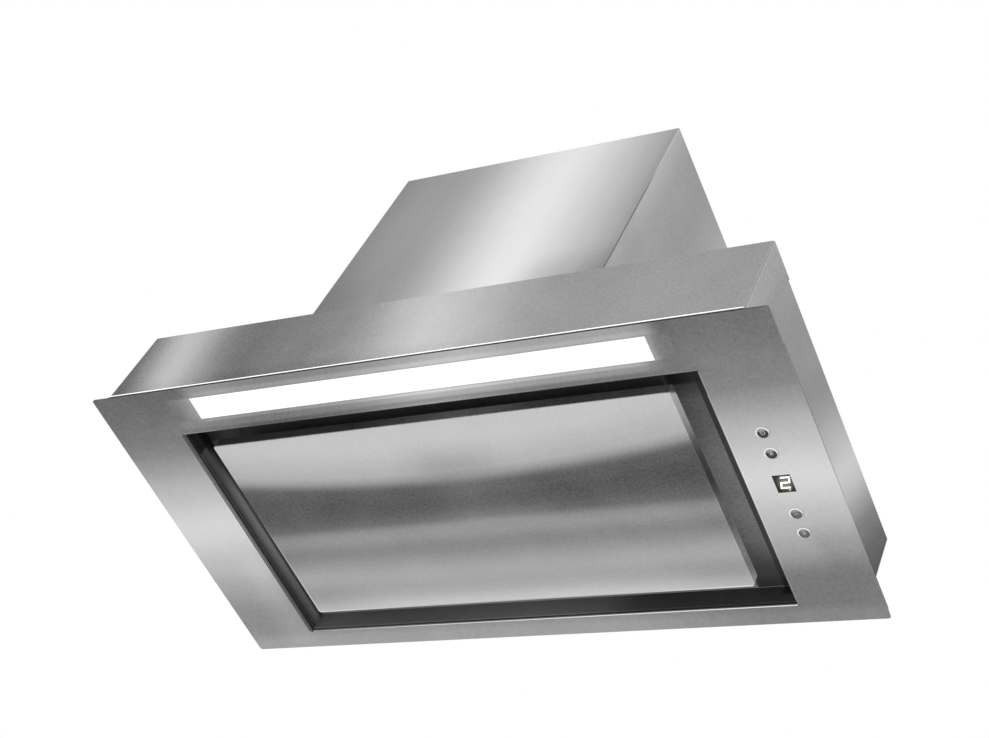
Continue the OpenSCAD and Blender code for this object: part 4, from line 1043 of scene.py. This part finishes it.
def box_sheets() -> list[BrushedSheet]:
    """The blower box, with painted reflections and painted shade on its sheets.

    Returns:
        The finishes of the front and of the two sides.
    """
    # Painted reflection across the front
    tall = Band(X, ((-135, 143), (-110, 154), (-90, 158), (-70, 162), (-50, 173), (-30, 190), (-10, 209),
        (12, 225), (34, 233), (52, 231), (70, 221), (90, 207), (110, 191), (128, 174), (135, 163)))
    box = BrushedSheet("brushed_box_front", tall, (
        # Painted shade towards the foot
        Region((90, 1, 90), 0.91, x1=0, z1=150),
        Region((22, 1, 22), 0.9, x0=64, z1=128),
        Region((20, 1, 40), 0.93, x1=-98, z1=150),
        # The right edge, in painted shade below and painted light above
        Region((0.05, 1, 25), x0=134.9, z1=235, band=Band(Z, ((85, 104), (306, 112)))),
        Region((0.05, 1, 25), x0=134.9, z0=235, band=Band(Z, ((85, 172), (306, 190)))),
    ), X, 0.06, 0.08, seed=41.0, gain=0.99, lift=0.07)
    # Painted reflection along the sides
    flank = Band(Y, ((-133, 176), (-112, 162), (-85, 154), (-55, 154), (-20, 166), (30, 176), (70, 166),
        (125, 150)), 0.05, Z, 200.0)
    box_sides = BrushedSheet("brushed_box_sides", flank, (
        # Painted shade towards the front of the foot
        Region((1, 14, 50), 0.91, y1=-108, z1=185),
    ), Y, 0.06, 0.12, seed=51.0, lift=0.08)
    return [box, box_sides]


def hidden_sheets() -> list[BrushedSheet]:
    """The sheets that the photograph doesn't show.

    Returns:
        The finishes of the backs and of the tops.
    """
    # Bands of painted reflection on the backs and the tops
    rear = Band(X, ((-300, 140), (-180, 158), (-60, 182), (40, 196), (140, 172), (220, 150), (300, 142)))
    back = BrushedSheet("brushed_back", rear, (), X, 0.06, 0.12, seed=61.0)
    lid = Band(X, ((-300, 150), (-120, 168), (60, 186), (200, 170), (300, 154)), 0.5, Y)
    top = BrushedSheet("brushed_top", lid, (), Y, 0.06, 0.12, seed=71.0)
    return [back, top]


def recess_sheet() -> BrushedSheet:
    """The tray that lines the recess, with painted shade and a painted glow on its ceiling and painted light
    and shade on its walls.

    Returns:
        The tray's finish.
    """
    # Painted light across the tray
    well = Band(X, ((-229, 150), (-100, 165), (100, 165), (229, 165)))
    return BrushedSheet("recess_painted_light_shade", well, (
        # Painted shade and a painted glow on the ceiling's right part
        Region((3, 0.2, 1), x0=192, y1=123.9, z0=16, painted_glow=0.8, band=Band(Y, ((-95, 34), (-82, 42),
            (-72, 50), (-62, 70), (-47, 75), (-32, 82), (-7, 91), (23, 93), (43, 94), (58, 91), (78, 82),
            (98, 46), (113, 33), (125, 30)))),
        # Painted light on the left wall, with painted shade at its foot and a painted shadow line near its
        # top, and painted light and shade along the rear wall
        Region((0.1, 1, 1), x1=-229.3, band=Band(Z, ((7, 84), (9.5, 104), (13, 160), (17, 198), (18.4, 204),
            (19.3, 184), (20.2, 148), (21.1, 118), (25, 110)))),
        Region((1, 0.1, 1), y0=124.3, band=Band(X, ((-229, 110), (-120, 108), (0, 124), (60, 110), (90, 72),
            (150, 60), (229, 60)))),
        # Painted shade in the front corners, at the wall's ends and far right
        Region((3, 4, 1), 0.5, x1=-190, y1=-70, z0=16),
        Region((1, 1.5, 1), 0.42, y1=-77),
        Region((0.1, 26, 8), 0.45, x1=-229.3, y1=-40, z0=12),
        Region((0.1, 50, 1), 0.68, x1=-229.3, y0=60),
        Region((0.5, 1, 1), 0.5, x0=215.4, z0=16),
    ), X, 0.06, 0.12, 0.6, seed=81.0, metallic=0.0)


def plain_finishes() -> list[Finish]:
    """The finishes that have no run of sheen.

    Returns:
        The plastics, paints, plain metals, buttons, lit surfaces and the smoked window.
    """
    return [
        PlainFinish("zinc_sheet", (0.36, 0.37, 0.38), 0.42, 1.0, spangle=0.22),
        PlainFinish("ground_steel", (0.5, 0.5, 0.51), 0.28, 1.0, grain=0.2, relief=0.15),
        # The hem's rolled bend: its near-white metal is a painted highlight
        PlainFinish("bright_hem", (0.97, 0.97, 0.97), 0.16, 1.0, grain=0.02, cloud=0.02, relief=0.05),
        PlainFinish("satin_aluminium", (0.62, 0.63, 0.64), 0.38, 1.0, grain=0.14),
        PlainFinish("motor_enamel", (0.045, 0.05, 0.055), 0.4, coat=0.2),
        PlainFinish("grey_nylon", (0.06, 0.06, 0.064), 0.55, relief=0.35),
        PlainFinish("black_abs", (0.016, 0.016, 0.017), 0.5, relief=0.35),
        PlainFinish("white_abs", (0.66, 0.66, 0.64), 0.48),
        PlainFinish("ferrite", (0.03, 0.03, 0.032), 0.6, grain=0.3, relief=0.5),
        PlainFinish("green_board", (0.02, 0.11, 0.045), 0.35, coat=0.3, cloud_scale=260.0, cloud=0.25),
        PlainFinish("phosphor", (0.75, 0.62, 0.12), 0.5),
        PlainFinish("mesh_core", (0.2, 0.2, 0.205), 0.6, 0.7, grain_scale=500.0, grain=0.5, relief=0.6),
        # Buttons with painted light on one side and painted shade on the other
        ButtonFinish("bright_bezel", 178, 255, (-0.3, -0.954), -1.2, 2.0, 0.14, 1.0),
        ButtonFinish("dark_cap", 56, 168, (-0.1, -0.995), 1.7, 0.9),
        ButtonFinish("grey_cap", 104, 158, (-0.1, -0.995), 1.5, 0.9),
        PlainFinish("pale_icon", (0.62, 0.63, 0.62), 0.4, 0.2),
        LitFinish("lit_lens", (1.0, 1.0, 1.0), 0.92),
        LitFinish("lit_stroke", (1.0, 0.995, 0.93), 2.9, 12.2, 0.3),
        SmokedWindow("smoked_window", (0.055, 0.06, 0.04), 0.5),
    ]


@dataclass
class Assembly:
    """A part of the hood: which finish each node takes, and the small pieces that it adds."""

    frame: dict[str, Any]
    finishes: dict[str, bpy.types.Material]
    looks: ClassVar[dict[str, tuple[str, ...]]] = {}

    def dress(self) -> None:
        """Gives the assembly's nodes their finishes."""
        for finish, nodes in self.looks.items():
            for node in nodes:
                target = self.frame["nodes"][node]
                if not target.material_slots:
                    target.data.materials.append(self.finishes[finish])
                for slot in target.material_slots:
                    slot.material = self.finishes[finish]

    def add(self) -> None:
        """Adds the assembly's own pieces, where it has any."""

    def build(self) -> None:
        """Dresses the assembly and adds its own pieces."""
        self.dress()
        self.add()


@dataclass
class Shell(Assembly):
    """The plate, the body and the blower box, with the bright hem and the rivets."""

    looks = {
        "brushed_plate": ("trim_plate",),
        "brushed_body_front": ("body_front",),
        "brushed_body_sides": ("body_left_side", "body_right_side"),
        "brushed_box_front": ("box_front",),
        "brushed_box_sides": ("box_left_side", "box_right_side"),
        "brushed_back": ("body_back", "box_back"),
        "brushed_top": ("body_top", "box_top"),
        "recess_painted_light_shade": ("suction_frame",),
        "ground_steel": ("sheet_screws",),
    }
    hem_start: Point = (-285.0, -145.5, 6.0)
    hem_end: Point = (282.0, -145.5, 6.0)
    hem_r: float = 0.5
    rivet_r: float = 2.2
    rivet_pitch: float = 44.0
    rivet_flatness: float = 0.4

    def hem(self) -> None:
        """Adds the hem along the bottom of the front: a real rolled bend, whose near-white metal is a painted
        highlight.
        """
        mesh = bmesh.new()
        add_bead(mesh, Vector(self.hem_start), Vector(self.hem_end), self.hem_r)
        work_piece("front_hem", mesh, "hood", self.finishes["bright_hem"])

    def rivet_row(self, name: str, start: Point, end: Point, out: Axis) -> None:
        """Adds a row of domed rivets along a line.

        Args:
            name: the piece's name.
            start: the first rivet's place, in millimetres.
            end: the last rivet's place, in millimetres.
            out: the axis that the heads face along.
        """
        length = (Vector(end) - Vector(start)).length
        count = max(2, round(length / self.rivet_pitch) + 1)
        tree = GeometryTree(name, {"Rivet Radius": self.rivet_r * MM, "Rivets": count})
        line = tree.make("GeometryNodeMeshLine", {
            "Count": tree.math("ROUND", tree.size("Rivets")),
            "Start Location": Vector(start) * MM,
            "Offset": Vector(end) * MM,
        }, mode="END_POINTS")
        feeds = {"Segments": 16, "Rings": 8, "Radius": tree.size("Rivet Radius")}
        dome = tree.make("GeometryNodeMeshUVSphere", feeds, "Mesh")
        flat = tuple(self.rivet_flatness if axis is out else 1.0 for axis in Axis)
        head = tree.make("GeometryNodeTransform", {"Geometry": dome, "Scale": flat})
        spread = tree.make("GeometryNodeInstanceOnPoints", {"Points": line, "Instance": head})
        tree.bake(spread, self.finishes["ground_steel"], "hood", "steel")

    def add(self) -> None:
        """Adds the hem and the rows of rivets."""
        self.hem()
        LOG.info("front hem")
        rows = (
            ("rivets_back_top", (-262, 137.5, 79), (262, 137.5, 79), Y),
            ("rivets_back_foot", (-262, 137.5, 13), (262, 137.5, 13), Y),
            ("rivets_box_back_left", (-128, 125, 100), (-128, 125, 292), Y),
            ("rivets_box_back_right", (128, 125, 100), (128, 125, 292), Y),
            ("rivets_lid_left", (-272, -108, 85.4), (-272, 118, 85.4), Z),
            ("rivets_lid_right", (272, -108, 85.4), (272, 118, 85.4), Z),
            ("rivets_box_top_front", (-120, -126, 306.4), (120, -126, 306.4), Z),
        )
        for row in rows:
            self.rivet_row(*row)
            LOG.info("rivet row %s", row[0])


@dataclass
class Recess(Assembly):
    """The panel, its hinges and catches, and the grease filters above it."""

    looks = {
        "brushed_panel": ("perimeter_panel",),
        "zinc_sheet": ("panel_hinge_leaves", "panel_hinge_brackets", "catch_keepers"),
        "ground_steel": ("panel_hinge_pins",),
        "ferrite": ("catch_magnets",),
        "satin_aluminium": ("filter_frame_left", "filter_frame_right"),
        "mesh_core": ("filter_mesh",),
        "black_abs": ("latch_left", "latch_right", "latch_guides"),
    }
    filter_w: float = 189.4
    filter_d: float = 149.8
    filter_x: float = 96.15
    filter_y: float = 19.5
    wire_z: float = 21.84
    wire_r: float = 0.34
    cell_w: float = 8.0
    cell_d: float = 4.2
    notch_half_w: float = 17.0
    notch_y: float = -31.0

    def wires(self, name: str, middle_x: float) -> None:
        """Adds the open diamonds of expanded mesh on the lower face of a filter.

        Args:
            name: the piece's name.
            middle_x: the filter's middle along X, in millimetres.
        """
        across, along = int(self.filter_w / self.cell_w), int(self.filter_d / self.cell_d)
        tree = GeometryTree(name, {
            "Wire Radius": self.wire_r * MM,
            "Cell Width": self.cell_w * MM,
            "Cell Depth": self.cell_d * MM,
            "Notch Half Width": self.notch_half_w * MM,
            "Notch End": (self.notch_y - self.filter_y) * MM,
        })
        wide, deep = tree.size("Cell Width"), tree.size("Cell Depth")
        grid = tree.make("GeometryNodeMeshGrid", {
            "Size X": wide * float(across - 1),
            "Size Y": deep * float(along - 1),
            "Vertices X": across,
            "Vertices Y": along,
        }, "Mesh")
        place = tree.node("ShaderNodeSeparateXYZ", {0: tree.make("GeometryNodeInputPosition")})
        x, y, _ = (Value(tree, socket) for socket in place.outputs)
        beside = tree.math("LESS_THAN", tree.math("ABSOLUTE", x), tree.size("Notch Half Width"))
        before = tree.math("LESS_THAN", y, tree.size("Notch End"))
        feeds = {"Geometry": grid, "Selection": beside * before}
        cut = tree.make("GeometryNodeDeleteGeometry", feeds, domain="POINT")
        diamond = tree.make("GeometryNodeCurvePrimitiveCircle", {"Resolution": 4, "Radius": 0.5})
        size = tree.make("ShaderNodeCombineXYZ", {0: wide, 1: deep, 2: 1.0})
        cell = tree.make("GeometryNodeTransform", {"Geometry": diamond, "Scale": size})
        feeds = {"Resolution": 6, "Radius": tree.size("Wire Radius")}
        wire = tree.make("GeometryNodeCurvePrimitiveCircle", feeds)
        tube = tree.make("GeometryNodeCurveToMesh", {"Curve": cell, "Profile Curve": wire})
        spread = tree.make("GeometryNodeInstanceOnPoints", {"Points": cut, "Instance": tube})
        move = (middle_x * MM, self.filter_y * MM, self.wire_z * MM)
        lift = tree.make("GeometryNodeTransform", {"Geometry": spread, "Translation": move})
        tree.bake(lift, self.finishes["satin_aluminium"], "hood", "aluminium")

    def add(self) -> None:
        """Lays the mesh of the two filters."""
        for name, side in (("filter_wires_left", -1.0), ("filter_wires_right", 1.0)):
            self.wires(name, side * self.filter_x)
            LOG.info("%s", name)


class Icon(Enum):
    """The icon on a button, by the start of its body's name."""

    POWER = "power"
    LAMP = "lamp"
    MINUS = "minus"
    PLUS = "plus"


def bar(u0: float, u1: float, v0: float, v1: float) -> list[Pair]:
    """The corners of an upright oblong."""
    return [(u0, v0), (u1, v0), (u1, v1), (u0, v1)]


def arc(r: float, start: float, sweep: float, steps: int, count: int) -> list[Pair]:
    """Points round a middle.

    Args:
        r: the radius.
        start: the first point's angle, in degrees.
        sweep: the angle of all the steps, in degrees.
        steps: how many steps the sweep has.
        count: how many points.

    Returns:
        The points.
    """
    turns = [math.radians(start + sweep * i / steps) for i in range(count)]
    return [(r * math.cos(a), r * math.sin(a)) for a in turns]


@dataclass
class Controls(Assembly):
    """The buttons with their icons, the display and what is behind them."""

    looks = {
        "dark_cap": ("button_power", "button_lamp"),
        "grey_cap": ("button_minus", "button_plus"),
        "bright_bezel": ("button_bezels",),
        "smoked_window": ("display_window",),
        "lit_stroke": ("display_digit",),
        "black_abs": ("display_module", "tact_switches"),
        "white_abs": ("control_housing",),
        "green_board": ("control_board",),
    }
    x: float = 260.0
    ys: tuple[float, ...] = (-41.3, -22.3, 35.1, 54.1)
    face_z: float = 3.9
    lift: float = 0.06
    bar_half_l: float = 1.7
    bar_half_w: float = 0.28

    def outline(self, icon: Icon) -> list[list[Pair]]:
        """The strokes of an icon as closed outlines, in millimetres round its middle.

        Args:
            icon: which icon.

        Returns:
            One list of corners for each stroke.
        """
        long, thin = self.bar_half_l, self.bar_half_w
        if icon is Icon.POWER:
            ring = arc(1.75, -50, 280, 18, 19)
            ring += reversed(arc(1.25, -50, 280, 18, 19))
            return [ring, bar(-0.25, 0.25, -2.0, -0.3)]
        if icon is Icon.LAMP:
            rays = []
            for c, s in arc(1.0, 0, 360, 8, 8):
                rays.append([(u * c - v * s, u * s + v * c)
                             for u, v in ((1.35, 0.15), (1.35, -0.15), (2.05, -0.15), (2.05, 0.15))])
            return [arc(0.95, 0, 360, 20, 20), *rays]
        strokes = [bar(-long, long, -thin, thin)]
        if icon is Icon.PLUS:
            strokes += [bar(-thin, thin, thin, long), bar(-thin, thin, -long, -thin)]
        return strokes

    def print_icon(self, icon: Icon, y: float) -> None:
        """Prints an icon on a button's face.

        Args:
            icon: which icon.
            y: the button's place along Y, in millimetres.
        """
        kind = icon.value
        mesh = bmesh.new()
        for stroke in self.outline(icon):
            corners = [(self.x + u, y + v) for u, v in stroke]
            add_prism(mesh, corners, self.face_z - self.lift, self.face_z)
        work_piece(f"icon_{kind}", mesh, f"{kind}_button", self.finishes["pale_icon"])
        LOG.info("icon %s", kind)

    def add(self) -> None:
        """Prints the icons."""
        for icon, y in zip(Icon, self.ys):
            self.print_icon(icon, y)


@dataclass
class Light(Assembly):
    """The strip light near the plate's front edge."""

    looks = {
        "lit_lens": ("light_lens",),
        "satin_aluminium": ("light_channel",),
        "white_abs": ("light_board", "light_driver"),
        "phosphor": ("light_chips",),
    }


@dataclass
class Blower(Assembly):
    """The scroll, the rotor, the motor, the supply and the outlet."""

    looks = {
        "zinc_sheet": ("scroll_band", "scroll_sides", "inlet_rings", "outlet_duct", "motor_bracket",
                       "capacitor_clip"),
        "grey_nylon": ("impeller", "flap_left", "flap_right"),
        "ground_steel": ("motor_shaft", "motor_bearings", "flap_axle"),
        "motor_enamel": ("motor_body",),
        "black_abs": ("duct_collar", "collar_base", "cable_gland"),
        "white_abs": ("capacitor", "supply_box"),
        "green_board": ("supply_board",),
    }


def main() -> None:
    """Builds the studio and the hood's dressing, and reports each part."""
    logging.basicConfig(level=logging.INFO, format="%(name)s: %(message)s")
    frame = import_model()
    Studio().build()
    LOG.info("studio")
    sheets = [plate_sheet(), panel_sheet(), *body_sheets(), *box_sheets(), *hidden_sheets(), recess_sheet()]
    finishes = {finish.name: finish.material() for finish in [*sheets, *plain_finishes()]}
    LOG.info("finishes: %d", len(finishes))
    for kind in (Shell, Recess, Controls, Light, Blower):
        kind(frame, finishes).build()
        LOG.info("%s", kind.__name__)


if __name__ == "__main__":
    main()
